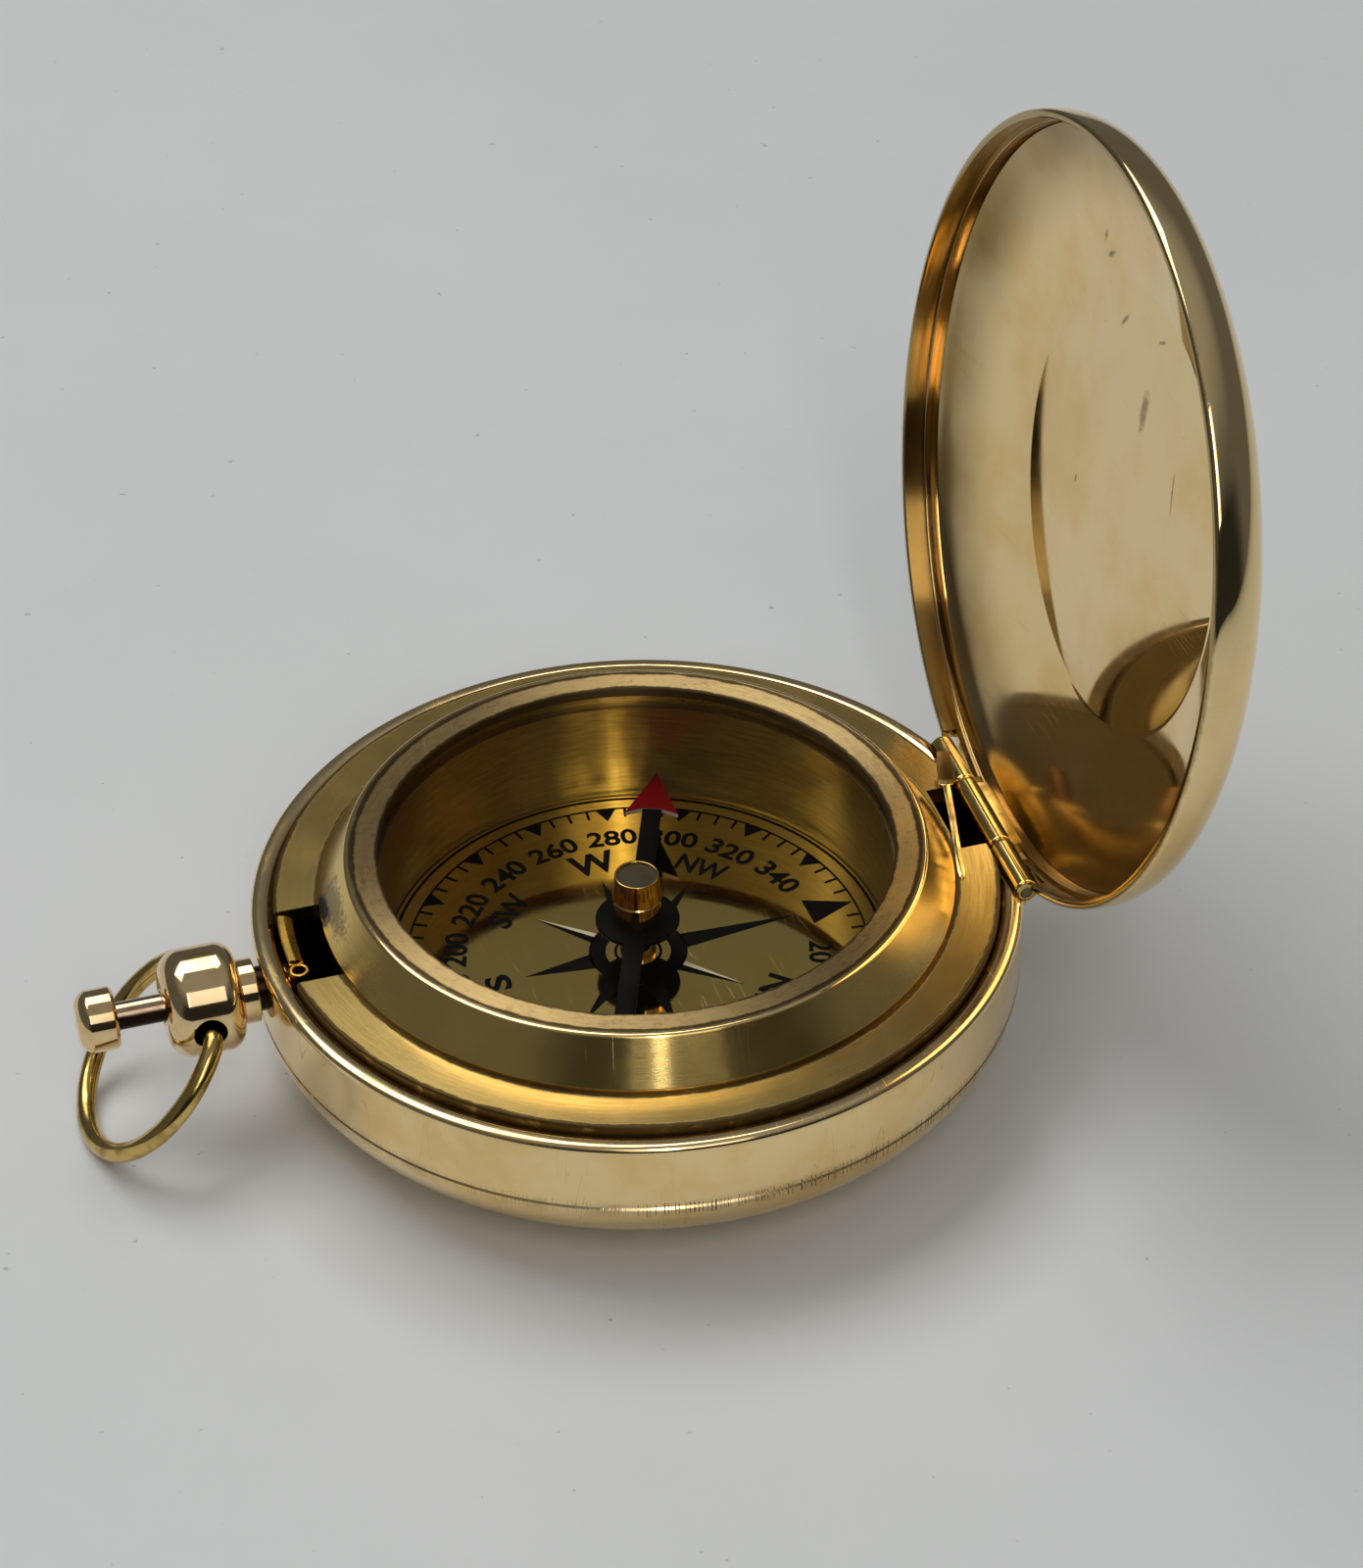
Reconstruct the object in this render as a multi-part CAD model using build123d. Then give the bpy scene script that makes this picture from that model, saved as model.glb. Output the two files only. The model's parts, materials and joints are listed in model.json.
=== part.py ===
from build123d import *
import math
import os

# Pocket compass with a hinged lid, in millimetres.
# Origin at the centre of the base, +Z up, hinge at +X, pendant and button at -X.
# The lid is drawn closed and then swung open about the hinge.

# Case
case_radius = 25.0
shell_wall = 0.6
back_depth = 6.8
back_shoulder = 13.0
back_seat_height = 1.2
back_seat_wall = 1.5
spigot_height = 0.5
spigot_wall = 0.8
band_height = 4.9
band_wall = 1.5
lip_round = 0.3
seam_bevel = 0.12

# Ring plate inside the band, with its two windows
plate_thickness = 1.2
plate_rise = 0.47
plate_round = 0.18
lock_window_width = 7.2
lock_window_room = 3.0
lift_window_width = 6.4
lift_window_depth = 1.9

# Bezel, crystal and bowl
ledge_width = 2.93
bezel_slope_run = 1.85
bezel_face_width = 2.1
bezel_height = 3.14
bezel_foot_height = 0.35
bezel_top_drop = 0.2
bezel_lip = 0.55
bezel_round = 0.3
bowl_wall = 0.8
bowl_floor = 0.8
crystal_thickness = 1.0
dial_depth = 5.64
dial_thickness = 0.6

# Needle on its pivot
needle_thickness = 0.3
needle_lift = 2.6
needle_arm_width = 1.3
needle_hub_radius = 2.75
needle_tip_gap = 1.2
needle_tail_gap = 3.0
needle_bearing = 69.0
arrow_length = 4.0
arrow_half_width = 1.8
arrow_notch = 0.5
cap_radius = 1.62
cap_top_radius = 1.45
cap_gap = 1.0
cap_groove_drop = 1.8
cap_groove = 0.08
cap_bore_radius = 0.9
jewel_radius = 1.3
jewel_thickness = 0.85
jewel_recess = 0.12
pivot_radius = 0.45
pivot_point = 1.6
bush_radius = 1.2
bush_height = 0.7

# Lid
lid_band_height = 2.1
lid_shoulder = 9.0
lid_dome = 3.2
lid_wall = 0.6
lid_spigot_wall = 0.25
lid_spigot_height = 0.6
lid_open_angle = 97.3

# Hinge
hinge_inset = 1.2
hinge_length = 16.4
lid_knuckle_length = 6.8
knuckle_radius = 0.85
hinge_pin_radius = 0.4
hinge_channel_depth = 1.0
hinge_channel_margin = 0.35
knuckle_foot_width = 0.6
knuckle_leaf_width = 0.8

# Lift spring across the hinge window
lift_thickness = 0.25
lift_strip_width = 0.5
lift_foot_length = 3.0
lift_head_width = 1.0
lift_head_length = 2.2
lift_head_rise = 1.1

# Lock spring and its rivet
lock_gap = 0.7
lock_thickness = 0.5
lock_room = 0.3
lock_tab_width = 4.5
lock_lip_width = 1.0
lock_lip_height = 0.4
lock_lip_drop = 0.08
lock_lip_fall = 0.3
lock_root_angle = 125.0
lock_tip_angle = 183.2
lock_eye_radius = 0.62
lock_eye_wall = 0.22
rivet_radius = 0.5
rivet_head_radius = 0.95
rivet_head_height = 0.4
rivet_depth = 0.6

# Pendant, push rod and button
pendant_reach = 3.9
collar_radius = 2.1
collar_length = 1.1
stem_radius = 1.45
barrel_radius = 3.5
barrel_length = 4.9
barrel_land = 2.1
barrel_end_radius = 1.7
barrel_neck_radius = 2.5
barrel_neck_step = 0.1
barrel_arc_share = 0.25
rod_mouth_width = 0.25
rod_mouth_depth = 0.3
bow_hole_radius = 1.05
bow_hole_web = 0.55
rod_radius = 0.9
rod_head_radius = 1.35
rod_nose_radius = 0.6
rod_nose_length = 0.25
rod_show = 3.0
button_radius = 2.03
button_length = 1.75
button_nose = 0.75
button_nose_radius = 1.2
button_arc_share = 0.17
button_bevel = 0.2

# Bow
bow_wire_radius = 0.64
bow_radius = 6.7
bow_bend_radius = 1.2
bow_reach = 0.4
bow_end_gap = 0.35
bow_rest_gap = 0.01

# Clearances
running_clearance = 0.05
fit_clearance = 0.1
lid_seat_gap = 0.05
cut_overrun = 2.0
edge_tolerance = 0.05

# Levels that follow from the sizes above
seam_z = back_depth
lip_z = seam_z + band_height
plate_z = lip_z + plate_rise
dial_z = lip_z - dial_depth
bezel_top_z = plate_z + bezel_height
crystal_z = bezel_top_z - bezel_top_drop - bezel_lip - crystal_thickness
needle_z = dial_z + needle_lift
cap_top_z = crystal_z - cap_gap
jewel_z = cap_top_z - jewel_recess - jewel_thickness
pendant_z = seam_z + band_height / 2
lid_notch_height = lid_band_height - lid_spigot_height

# Radii and places that follow, from the case inwards
band_inner = case_radius - band_wall
bezel_base_radius = band_inner - ledge_width
bezel_top_radius = bezel_base_radius - bezel_slope_run
bowl_radius = bezel_top_radius - bezel_face_width
bowl_outer = bowl_radius + bowl_wall
plate_bore = bowl_outer + fit_clearance
needle_reach = bowl_radius - needle_tip_gap
needle_tail = bowl_radius - needle_tail_gap
lock_outer = band_inner - lock_gap
lock_inner = lock_outer - lock_thickness
lid_inner = case_radius - lid_wall
hinge_x = case_radius - hinge_inset
channel_half = hinge_length / 2 + hinge_channel_margin
channel_x = hinge_x - knuckle_radius - fit_clearance
barrel_x = -(case_radius + pendant_reach)
bow_hole_floor = rod_radius + running_clearance + bow_hole_web
bow_straight = barrel_radius + bow_reach
bow_centre = bow_bend_radius + math.sqrt((bow_radius - bow_bend_radius) ** 2 - bow_straight ** 2)
bow_drop = pendant_z - bow_wire_radius - bow_rest_gap
bow_hang_angle = math.degrees(math.asin(bow_drop / (bow_centre + bow_radius)))


def turned(*outline):
    """A solid turned about Z from its half section, given as (radius, height) points."""
    return revolve(make_face(Plane.XZ * Polyline(*outline, close=True)), Axis.Z)


def ring(inner, outer, low, high):
    """A plain turned ring between two radii and two heights."""
    return turned((inner, low), (outer, low), (outer, high), (inner, high))


def block(x0, x1, y0, y1, z0, z1):
    """A box between two corners."""
    return Pos((x0 + x1) / 2, (y0 + y1) / 2, (z0 + z1) / 2) * Box(abs(x1 - x0), abs(y1 - y0), abs(z1 - z0))


def rod_along(axis_plane, radius, start, end):
    """A round rod along the plane's normal, from one distance to another."""
    return axis_plane * (Pos(0, 0, (start + end) / 2) * Cylinder(radius, abs(end - start)))


def domed(radius, shoulder, depth):
    """A dome above z = 0 with an elliptical shoulder round a flat middle."""
    flat = radius - shoulder
    arc = EllipticalCenterArc((flat, 0), shoulder, depth, start_angle=0, arc_size=90)
    sides = Polyline((flat, depth), (0, depth), (0, 0), (radius, 0))
    return revolve(make_face(Plane.XZ * (arc + sides)), Axis.Z)


def domed_shell(radius, shoulder, depth, wall):
    """The pressed shell of a dome, with the same flat middle inside and out."""
    return domed(radius, shoulder, depth) - domed(radius - wall, shoulder - wall, depth - wall)


def edges_at(shape, radius, height):
    """The circular edges of a turned piece at one radius and height."""
    found = shape.edges().filter_by(GeomType.CIRCLE)
    level = [edge for edge in found if abs(edge.arc_center.Z - height) < edge_tolerance]
    return [edge for edge in level if abs(edge.radius - radius) < edge_tolerance]


# Planes for what is turned about the pendant axis or the hinge axis
pendant_plane = Plane(origin=(0, 0, pendant_z), x_dir=(0, 1, 0), z_dir=(-1, 0, 0))
bow_plane = Plane(origin=(barrel_x, 0, pendant_z), x_dir=(1, 0, 0), z_dir=(0, 1, 0))
hinge_plane = Plane(origin=(hinge_x, 0, lip_z), x_dir=(1, 0, 0), z_dir=(0, 1, 0))
hinge_channel = block(channel_x, case_radius + cut_overrun, -channel_half, channel_half,
                      lip_z - hinge_channel_depth, lip_z + cut_overrun)


def make_case_back():
    """Pressed back with a turned seat and a spigot that centres it in the band."""
    dome = domed_shell(case_radius, back_shoulder, back_depth, shell_wall)
    shell = Pos(0, 0, seam_z) * mirror(dome, Plane.XY)
    seat_outer = case_radius - shell_wall / 2
    seat = ring(seat_outer - back_seat_wall, seat_outer, seam_z - back_seat_height, seam_z)
    spigot = ring(band_inner - spigot_wall, band_inner, seam_z - back_seat_height, seam_z + spigot_height)
    back = shell + seat + spigot
    return chamfer(edges_at(back, case_radius, seam_z), seam_bevel)


def make_case_band():
    """Band with a rounded lip, the hinge channel, the stem hole and the rivet's blind hole."""
    band = ring(band_inner, case_radius, seam_z, lip_z)
    band = fillet(edges_at(band, case_radius, lip_z), lip_round)
    band = chamfer(edges_at(band, case_radius, seam_z), seam_bevel)
    band -= hinge_channel
    band -= rod_along(pendant_plane, stem_radius, band_inner - cut_overrun, case_radius + cut_overrun)
    return band - lock_rivet_shank()


def make_top_plate():
    """Ring plate with the two windows and a straight edge along the hinge channel."""
    plate = ring(plate_bore, band_inner, plate_z - plate_thickness, plate_z)
    plate = fillet(edges_at(plate, band_inner, plate_z), plate_round)
    low, high = plate_z - plate_thickness - cut_overrun, plate_z + cut_overrun
    lock_half, lift_half = lock_window_width / 2, lift_window_width / 2
    lock_edge = lock_inner - lock_window_room
    plate -= block(-case_radius, -lock_edge, -lock_half, lock_half, low, high)
    plate -= block(channel_x - lift_window_depth, case_radius, -lift_half, lift_half, low, high)
    return plate - block(channel_x, case_radius, -channel_half, channel_half, low, high)


def make_bezel():
    """Conical ring with a foot, a bore over the bowl and a lip over the crystal."""
    lip_low = crystal_z + crystal_thickness
    bezel = turned((bowl_outer, plate_z), (bezel_base_radius, plate_z),
                   (bezel_base_radius, plate_z + bezel_foot_height), (bezel_top_radius, bezel_top_z),
                   (bowl_radius, bezel_top_z - bezel_top_drop), (bowl_radius, lip_low),
                   (bowl_outer, lip_low))
    return fillet(edges_at(bezel, bezel_top_radius, bezel_top_z), bezel_round)


def make_bowl():
    """Deep bowl that carries the dial, with the crystal on its rim."""
    low = dial_z - dial_thickness - bowl_floor
    return turned((0, low), (bowl_outer, low), (bowl_outer, crystal_z), (bowl_radius, crystal_z),
                  (bowl_radius, low + bowl_floor), (0, low + bowl_floor))


def make_crystal():
    """Flat glass between the bowl's rim and the bezel's lip."""
    return ring(0, bowl_outer - fit_clearance, crystal_z, crystal_z + crystal_thickness)


def make_dial():
    """Dial plate on the bowl's floor, with the hole for the pivot pin."""
    return ring(pivot_radius, bowl_radius - running_clearance, dial_z - dial_thickness, dial_z)


def make_pivot_bush():
    """Low brass bush that steadies the pivot pin on the dial."""
    top = dial_z + bush_height
    return turned((pivot_radius, dial_z), (bush_radius, dial_z), (bush_radius - pivot_radius / 2, top),
                  (pivot_radius, top))


def make_pivot_pin():
    """Steel pin from the bowl's floor up to a point under the jewel."""
    tip = jewel_z - running_clearance
    return turned((0, dial_z - dial_thickness), (pivot_radius, dial_z - dial_thickness),
                  (pivot_radius, tip - pivot_point), (0, tip))


def make_needle():
    """Flat needle: a round middle, two straight arms, an arrow head and a pointed tail."""
    half = needle_arm_width / 2
    neck = needle_reach - arrow_length
    barb = neck - arrow_notch
    tail = -needle_tail + half
    outline = Polyline((tail, -half), (neck, -half), (barb, -arrow_half_width), (needle_reach, 0),
                       (barb, arrow_half_width), (neck, half), (tail, half), (-needle_tail, 0), close=True)
    blade = extrude(make_face(outline), needle_thickness)
    blade += Pos(0, 0, needle_thickness / 2) * Cylinder(needle_hub_radius, needle_thickness)
    blade -= Pos(0, 0, needle_thickness / 2) * Cylinder(cap_bore_radius, needle_thickness + cut_overrun)
    return Pos(0, 0, needle_z) * Rot(0, 0, needle_bearing) * blade


def make_needle_cap():
    """Turned cap with a fine groove, a bore for the pivot and a seat for the jewel."""
    low = needle_z + needle_thickness
    groove_z = cap_top_z - cap_groove_drop
    return turned((cap_bore_radius, low), (cap_radius, low), (cap_radius, groove_z - cap_groove),
                  (cap_radius - cap_groove, groove_z), (cap_radius, groove_z + cap_groove),
                  (cap_top_radius, cap_top_z), (jewel_radius, cap_top_z), (jewel_radius, jewel_z),
                  (cap_bore_radius, jewel_z))


def make_cap_jewel():
    """Flat bearing stone in the cap's top."""
    return ring(0, jewel_radius, jewel_z, jewel_z + jewel_thickness)


def opened(shape):
    """Swings a piece of the closed lid open about the hinge axis."""
    return Pos(hinge_x, 0, lip_z) * Rot(0, lid_open_angle, 0) * Pos(-hinge_x, 0, -lip_z) * shape


def make_lid_rim():
    """Lid band, notched along the hinge so that it clears the case when open."""
    low = lip_z + lid_seat_gap
    rim = ring(lid_inner, case_radius, low, lip_z + lid_band_height)
    rim -= block(hinge_x - hinge_inset, case_radius + cut_overrun, -channel_half, channel_half,
                 lip_z - cut_overrun, lip_z + lid_notch_height)
    return opened(rim)


def make_lid_cover():
    """Pressed domed cover with a short spigot inside the lid band."""
    top = lip_z + lid_band_height
    cover = Pos(0, 0, top) * domed_shell(case_radius, lid_shoulder, lid_dome, lid_wall)
    spigot = ring(lid_inner - lid_spigot_wall, lid_inner, top - lid_spigot_height, top)
    seat = ring(lid_inner - lid_spigot_wall, lid_inner + lid_wall / 2, top, top + lid_wall)
    cover = cover + spigot + seat
    return opened(chamfer(edges_at(cover, case_radius, top), seam_bevel))


def make_lid_knuckle():
    """Middle knuckle with a leaf up to the lid band."""
    half = lid_knuckle_length / 2
    knuckle = rod_along(hinge_plane, knuckle_radius, -half, half)
    leaf_outer = lid_inner - running_clearance
    leaf_inner = leaf_outer - knuckle_leaf_width
    knuckle += block(leaf_inner, leaf_outer, -half, half, lip_z, lip_z + lid_notch_height)
    bore = hinge_pin_radius + running_clearance
    return opened(knuckle - rod_along(hinge_plane, bore, -half - cut_overrun, half + cut_overrun))


def make_case_knuckles():
    """The two outer knuckles, each with a foot on the floor of the hinge channel."""
    start = lid_knuckle_length / 2 + running_clearance
    end = hinge_length / 2
    pair = []
    for side in (1, -1):
        knuckle = rod_along(hinge_plane, knuckle_radius, side * start, side * end)
        knuckle += block(hinge_x - knuckle_foot_width, hinge_x, side * start, side * end,
                         lip_z - hinge_channel_depth, lip_z)
        past = side * (end + cut_overrun)
        pair.append(knuckle - rod_along(hinge_plane, hinge_pin_radius, -side * end, past))
    return Compound(pair)


def make_hinge_pin():
    """Pin through all three knuckles."""
    return rod_along(hinge_plane, hinge_pin_radius, -hinge_length / 2, hinge_length / 2)


def make_lift_spring():
    """Strip spring: a foot on the plate, a leaning strip across the hinge window and a raised head."""
    half = lift_window_width / 2
    foot_y = -half - lift_foot_length
    foot_x = math.sqrt(bezel_base_radius ** 2 - foot_y ** 2) + lift_strip_width
    head_x = channel_x - lift_head_width / 2
    lean = math.atan2(head_x - foot_x, half - foot_y)
    run = math.hypot(head_x - foot_x, half - foot_y)
    line = [(0, 0), (run, 0), (run + lift_head_length, lift_head_rise)]
    top = [(along, up + lift_thickness) for along, up in reversed(line)]
    strip = extrude(make_face(Plane.YZ * Polyline(*line, *top, close=True)), lift_strip_width / 2, both=True)
    head = Plane.YZ * Polyline(line[-2], line[-1], top[0], top[1], close=True)
    strip += extrude(make_face(head), lift_head_width / 2, both=True)
    return Pos(foot_x, foot_y, plate_z) * Rot(0, 0, -math.degrees(lean)) * strip


def sector(start_angle, end_angle, *outline):
    """A half section of (radius, height) points turned about Z from one angle to another."""
    face = make_face(Plane.XZ * Polyline(*outline, close=True))
    return revolve(Rot(0, 0, start_angle) * face, Axis.Z, end_angle - start_angle)


def lock_rivet_plane():
    """Plane on the Z axis whose normal runs out through the rivet."""
    turn = math.radians(lock_root_angle)
    return Plane(origin=(0, 0, pendant_z), x_dir=(0, 0, 1), z_dir=(math.cos(turn), math.sin(turn), 0))


def lock_rivet_shank():
    """Rivet shank, from inside the spring's root into the band."""
    return rod_along(lock_rivet_plane(), rivet_radius, lock_inner - fit_clearance, band_inner + rivet_depth)


def make_lock_rivet():
    """Rivet with its head inside the spring's root."""
    low = lock_inner - fit_clearance
    head = rod_along(lock_rivet_plane(), rivet_head_radius, low - rivet_head_height, low)
    return lock_rivet_shank() + head


def make_lock_spring():
    """Curved leaf along the band, with a tab up through the window, a sloped catch lip and a rolled end."""
    low = seam_z + spigot_height + lock_room
    high = plate_z - plate_thickness - lock_room
    tab_top = plate_z - lock_lip_drop
    lip_low, lip_outer = tab_top - lock_lip_height, lock_inner + lock_lip_width
    root = lock_root_angle - math.degrees(rivet_head_radius / lock_inner)
    tab_start = lock_tip_angle - math.degrees(lock_tab_width / lock_outer)
    leaf = sector(root, lock_tip_angle, (lock_inner, low), (lock_outer, low), (lock_outer, high),
                  (lock_inner, high))
    leaf += sector(tab_start, lock_tip_angle, (lock_inner, low), (lock_outer, low), (lock_outer, lip_low),
                   (lip_outer, lip_low), (lip_outer, tab_top), (lock_outer, tab_top),
                   (lock_inner, tab_top - lock_lip_fall))
    eye_turn = math.radians(lock_tip_angle) + (lock_eye_radius - lock_eye_wall / 2) / lock_outer
    eye = ring(lock_eye_radius - lock_eye_wall, lock_eye_radius, high, lip_low)
    leaf += Pos(lock_outer * math.cos(eye_turn), lock_outer * math.sin(eye_turn), 0) * eye
    hole_radius = rivet_radius + fit_clearance
    hole_start, hole_end = lock_inner - cut_overrun, lock_outer + cut_overrun
    return leaf - rod_along(lock_rivet_plane(), hole_radius, hole_start, hole_end)


def make_pendant():
    """Turned barrel with collar and stem, bored for the rod and drilled on both sides for the bow."""
    inner_end = -barrel_x - barrel_length / 2
    outer_end = -barrel_x + barrel_length / 2
    land_in, land_out = -barrel_x - barrel_land / 2, -barrel_x + barrel_land / 2
    end_rise = barrel_radius - barrel_end_radius
    end_run = (barrel_length - barrel_land) / 2
    inner_bulge, outer_bulge = end_run * barrel_arc_share, end_rise * barrel_arc_share
    collar_end = inner_end - collar_length
    neck_radius = collar_radius - barrel_neck_step
    inner_arc = SagittaArc((barrel_neck_radius, inner_end), (barrel_radius, land_in), -inner_bulge)
    outer_arc = SagittaArc((barrel_radius, land_out), (barrel_end_radius, outer_end), -outer_bulge)
    sides = Polyline((barrel_radius, land_in), (barrel_radius, land_out))
    bore = rod_radius + running_clearance
    rest = Polyline((barrel_end_radius, outer_end), (bore + rod_mouth_width, outer_end),
                    (bore, outer_end - rod_mouth_depth), (bore, band_inner), (stem_radius, band_inner),
                    (stem_radius, collar_end), (collar_radius, collar_end),
                    (collar_radius, inner_end - barrel_neck_step), (neck_radius, inner_end),
                    (barrel_neck_radius, inner_end))
    body = revolve(make_face(Plane.XZ * (inner_arc + sides + outer_arc + rest)), Axis.Z)
    body = pendant_plane * body
    for side in (1, -1):
        past = side * (barrel_radius + cut_overrun)
        body -= rod_along(bow_plane, bow_hole_radius, side * bow_hole_floor, past)
    return body


def make_push_rod():
    """Rod through the pendant, with a head that keeps it in the band and a nose on the lock spring."""
    nose_tip = lock_outer + running_clearance
    head_start = nose_tip + rod_nose_length
    button_back = -barrel_x + barrel_length / 2 + rod_show
    rod = rod_along(pendant_plane, rod_radius, head_start, button_back)
    rod += rod_along(pendant_plane, rod_head_radius, head_start, band_inner - running_clearance)
    return rod + rod_along(pendant_plane, rod_nose_radius, nose_tip, head_start)


def make_push_button():
    """Turned button with a bevelled back and a domed nose."""
    back = -barrel_x + barrel_length / 2 + rod_show
    front = back + button_length
    tip = front + button_nose
    bulge = button_nose * button_arc_share
    nose = SagittaArc((button_radius, front), (button_nose_radius, tip), -bulge)
    rest = Polyline((button_nose_radius, tip), (0, tip), (0, back), (button_radius - button_bevel, back),
                    (button_radius, back + button_bevel), (button_radius, front))
    return pendant_plane * revolve(make_face(Plane.XZ * (nose + rest)), Axis.Z)


def make_bow():
    """Open wire ring whose two ends turn in and sit in the barrel's side holes."""
    end = bow_hole_floor + bow_end_gap
    bend = bow_bend_radius
    lean = math.atan2(bow_centre - bend, bow_straight)
    join = (bow_radius * math.cos(lean), bow_centre - bow_radius * math.sin(lean))
    turn = (lean + math.pi / 2) / 2
    mid = (bow_straight + bend * math.cos(turn), bend - bend * math.sin(turn))
    half = Line((end, 0), (bow_straight, 0)) + ThreePointArc((bow_straight, 0), mid, join)
    half += ThreePointArc(join, (bow_radius, bow_centre), (0, bow_centre + bow_radius))
    wire = Plane(origin=(0, 0, 0), x_dir=(0, 1, 0), z_dir=(0, 0, 1)) * half
    section = Plane(origin=(0, end, 0), z_dir=(0, 1, 0)) * Circle(bow_wire_radius)
    side = sweep(section, path=wire)
    loop = side + mirror(side, Plane.XZ)
    return Pos(barrel_x, 0, pendant_z) * Rot(0, -bow_hang_angle, 0) * loop


pieces = {
    "case_back": make_case_back(),
    "case_band": make_case_band(),
    "top_plate": make_top_plate(),
    "bezel": make_bezel(),
    "crystal": make_crystal(),
    "compass_bowl": make_bowl(),
    "dial_plate": make_dial(),
    "pivot_bush": make_pivot_bush(),
    "pivot_pin": make_pivot_pin(),
    "needle": make_needle(),
    "needle_cap": make_needle_cap(),
    "cap_jewel": make_cap_jewel(),
    "lid_rim": make_lid_rim(),
    "lid_cover": make_lid_cover(),
    "lid_knuckle": make_lid_knuckle(),
    "case_knuckles": make_case_knuckles(),
    "hinge_pin": make_hinge_pin(),
    "lift_spring": make_lift_spring(),
    "lock_spring": make_lock_spring(),
    "lock_spring_rivet": make_lock_rivet(),
    "pendant": make_pendant(),
    "push_rod": make_push_rod(),
    "push_button": make_push_button(),
    "bow": make_bow(),
}

os.makedirs("parts", exist_ok=True)
for name, piece in pieces.items():
    export_step(piece, f"parts/{name}.step")
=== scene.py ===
import json
from functools import partial
from math import asin, atan2, cos, hypot, pi, radians, sin, sqrt, tan

import bmesh
import bpy
from mathutils import Matrix, Vector


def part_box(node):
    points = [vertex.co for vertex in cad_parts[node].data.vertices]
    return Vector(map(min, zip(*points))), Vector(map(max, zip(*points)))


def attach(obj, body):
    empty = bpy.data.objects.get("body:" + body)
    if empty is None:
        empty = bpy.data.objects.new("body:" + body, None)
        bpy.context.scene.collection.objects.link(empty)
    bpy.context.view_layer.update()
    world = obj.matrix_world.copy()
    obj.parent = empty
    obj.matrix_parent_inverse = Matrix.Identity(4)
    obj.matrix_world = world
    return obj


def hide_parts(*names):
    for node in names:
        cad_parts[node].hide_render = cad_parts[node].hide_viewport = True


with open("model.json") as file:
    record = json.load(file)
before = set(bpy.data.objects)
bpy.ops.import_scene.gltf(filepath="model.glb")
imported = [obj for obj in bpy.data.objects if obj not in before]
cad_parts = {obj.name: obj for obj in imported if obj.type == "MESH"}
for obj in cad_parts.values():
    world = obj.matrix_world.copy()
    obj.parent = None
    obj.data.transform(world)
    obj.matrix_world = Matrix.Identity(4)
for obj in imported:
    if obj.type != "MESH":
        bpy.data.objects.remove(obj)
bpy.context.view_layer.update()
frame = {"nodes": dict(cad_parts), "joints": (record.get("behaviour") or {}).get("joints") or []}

# Pocket compass with its lid open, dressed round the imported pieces.
# Sizes are in millimetres and become metres where a mesh is made.
mm = 0.001


def low(node):
    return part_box(node)[0] / mm


def high(node):
    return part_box(node)[1] / mm


def joint(name):
    return next(row for row in frame["joints"] if row["name"] == name)


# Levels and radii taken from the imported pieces
case_radius = high("case_band").x
seam_z = low("case_band").z
lip_z = high("case_band").z
band_inner = high("top_plate").y
plate_z = high("top_plate").z
plate_low = low("top_plate").z
bezel_base = high("bezel").x
bezel_top_z = high("bezel").z
bowl_outer = high("compass_bowl").x
bowl_low = low("compass_bowl").z
crystal_low = low("crystal").z
crystal_high = high("crystal").z
crystal_radius = high("crystal").x
dial_z = high("dial_plate").z
dial_low = low("dial_plate").z
dial_radius = high("dial_plate").x
needle_z = low("needle").z
blade_top = high("needle").z
cap_top = high("needle_cap").z
cap_radius = high("needle_cap").x
jewel_low = low("cap_jewel").z
jewel_high = high("cap_jewel").z
jewel_radius = high("cap_jewel").x
hinge = Vector(joint("lid_hinge")["pos_m"]) / mm
lid_open = -joint("lid_hinge")["range_deg"][0]
pendant_z = joint("bow_swing")["pos_m"][2] / mm
barrel_x = joint("bow_swing")["pos_m"][0] / mm
button_back = high("push_button").x
button_tip = low("push_button").x
button_radius = high("push_button").y
rod_nose = high("push_rod").x

# Sizes of the visible forms
seam_bevel = 0.12
lip_round, lip_ease = 0.45, 0.7
shell_wall = 0.6
back_flat = 12.0
spigot_inner, spigot_top = 22.7, high("case_back").z
bowl_radius = 16.62
bezel_shoulder = 18.72
bezel_foot = 0.35
bezel_dip = 0.08
plate_bore = 17.52
plate_round = 0.18
channel_x, channel_half, channel_floor = 22.85, 8.55, 10.7
lock_window_edge, lock_window_half = -19.3, 3.6
lift_window_edge, lift_window_half = 20.95, 3.2
lid_low, lid_top = 11.75, 13.8
lid_inner = 24.4
lid_step = 24.15
lid_dome, lid_flat, lid_crease, crease_share = 3.2, 13.2, 14.4, 0.62
lid_widest, lid_fullness, rim_draw, lid_sheet = 12.5, 2.6, 0.1, 0.12
lid_notch, rim_notch = 1.5, 1.05
knuckle_radius, pin_radius = 0.85, 0.4
lid_knuckle_half, knuckle_gap, knuckle_ease, hinge_half = 3.4, 0.08, 0.2, 8.2
stem_radius, collar_radius, collar_length, neck_radius = 1.45, 2.1, 1.1, 2.5
barrel_radius, barrel_half, land_half, barrel_end = 3.5, 2.45, 1.05, 1.7
bow_hole = 1.05
rod_radius, rod_head, rod_tip = 0.9, 1.35, 0.6
button_nose = 1.2
bow_wire, bow_radius, bow_bend = 0.64, 6.7, 1.2
bow_straight, bow_centre, bow_end, bow_rest = 3.9, 5.0784, 1.85, 0.01
bow_hang = asin((pendant_z - bow_wire - bow_rest) / (bow_centre + bow_radius))
lock_inner, lock_outer, lock_lip = 22.3, 22.8, 23.3
lock_eye, lock_sheet = 0.62, 0.22
needle_bearing = 69.0
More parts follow.
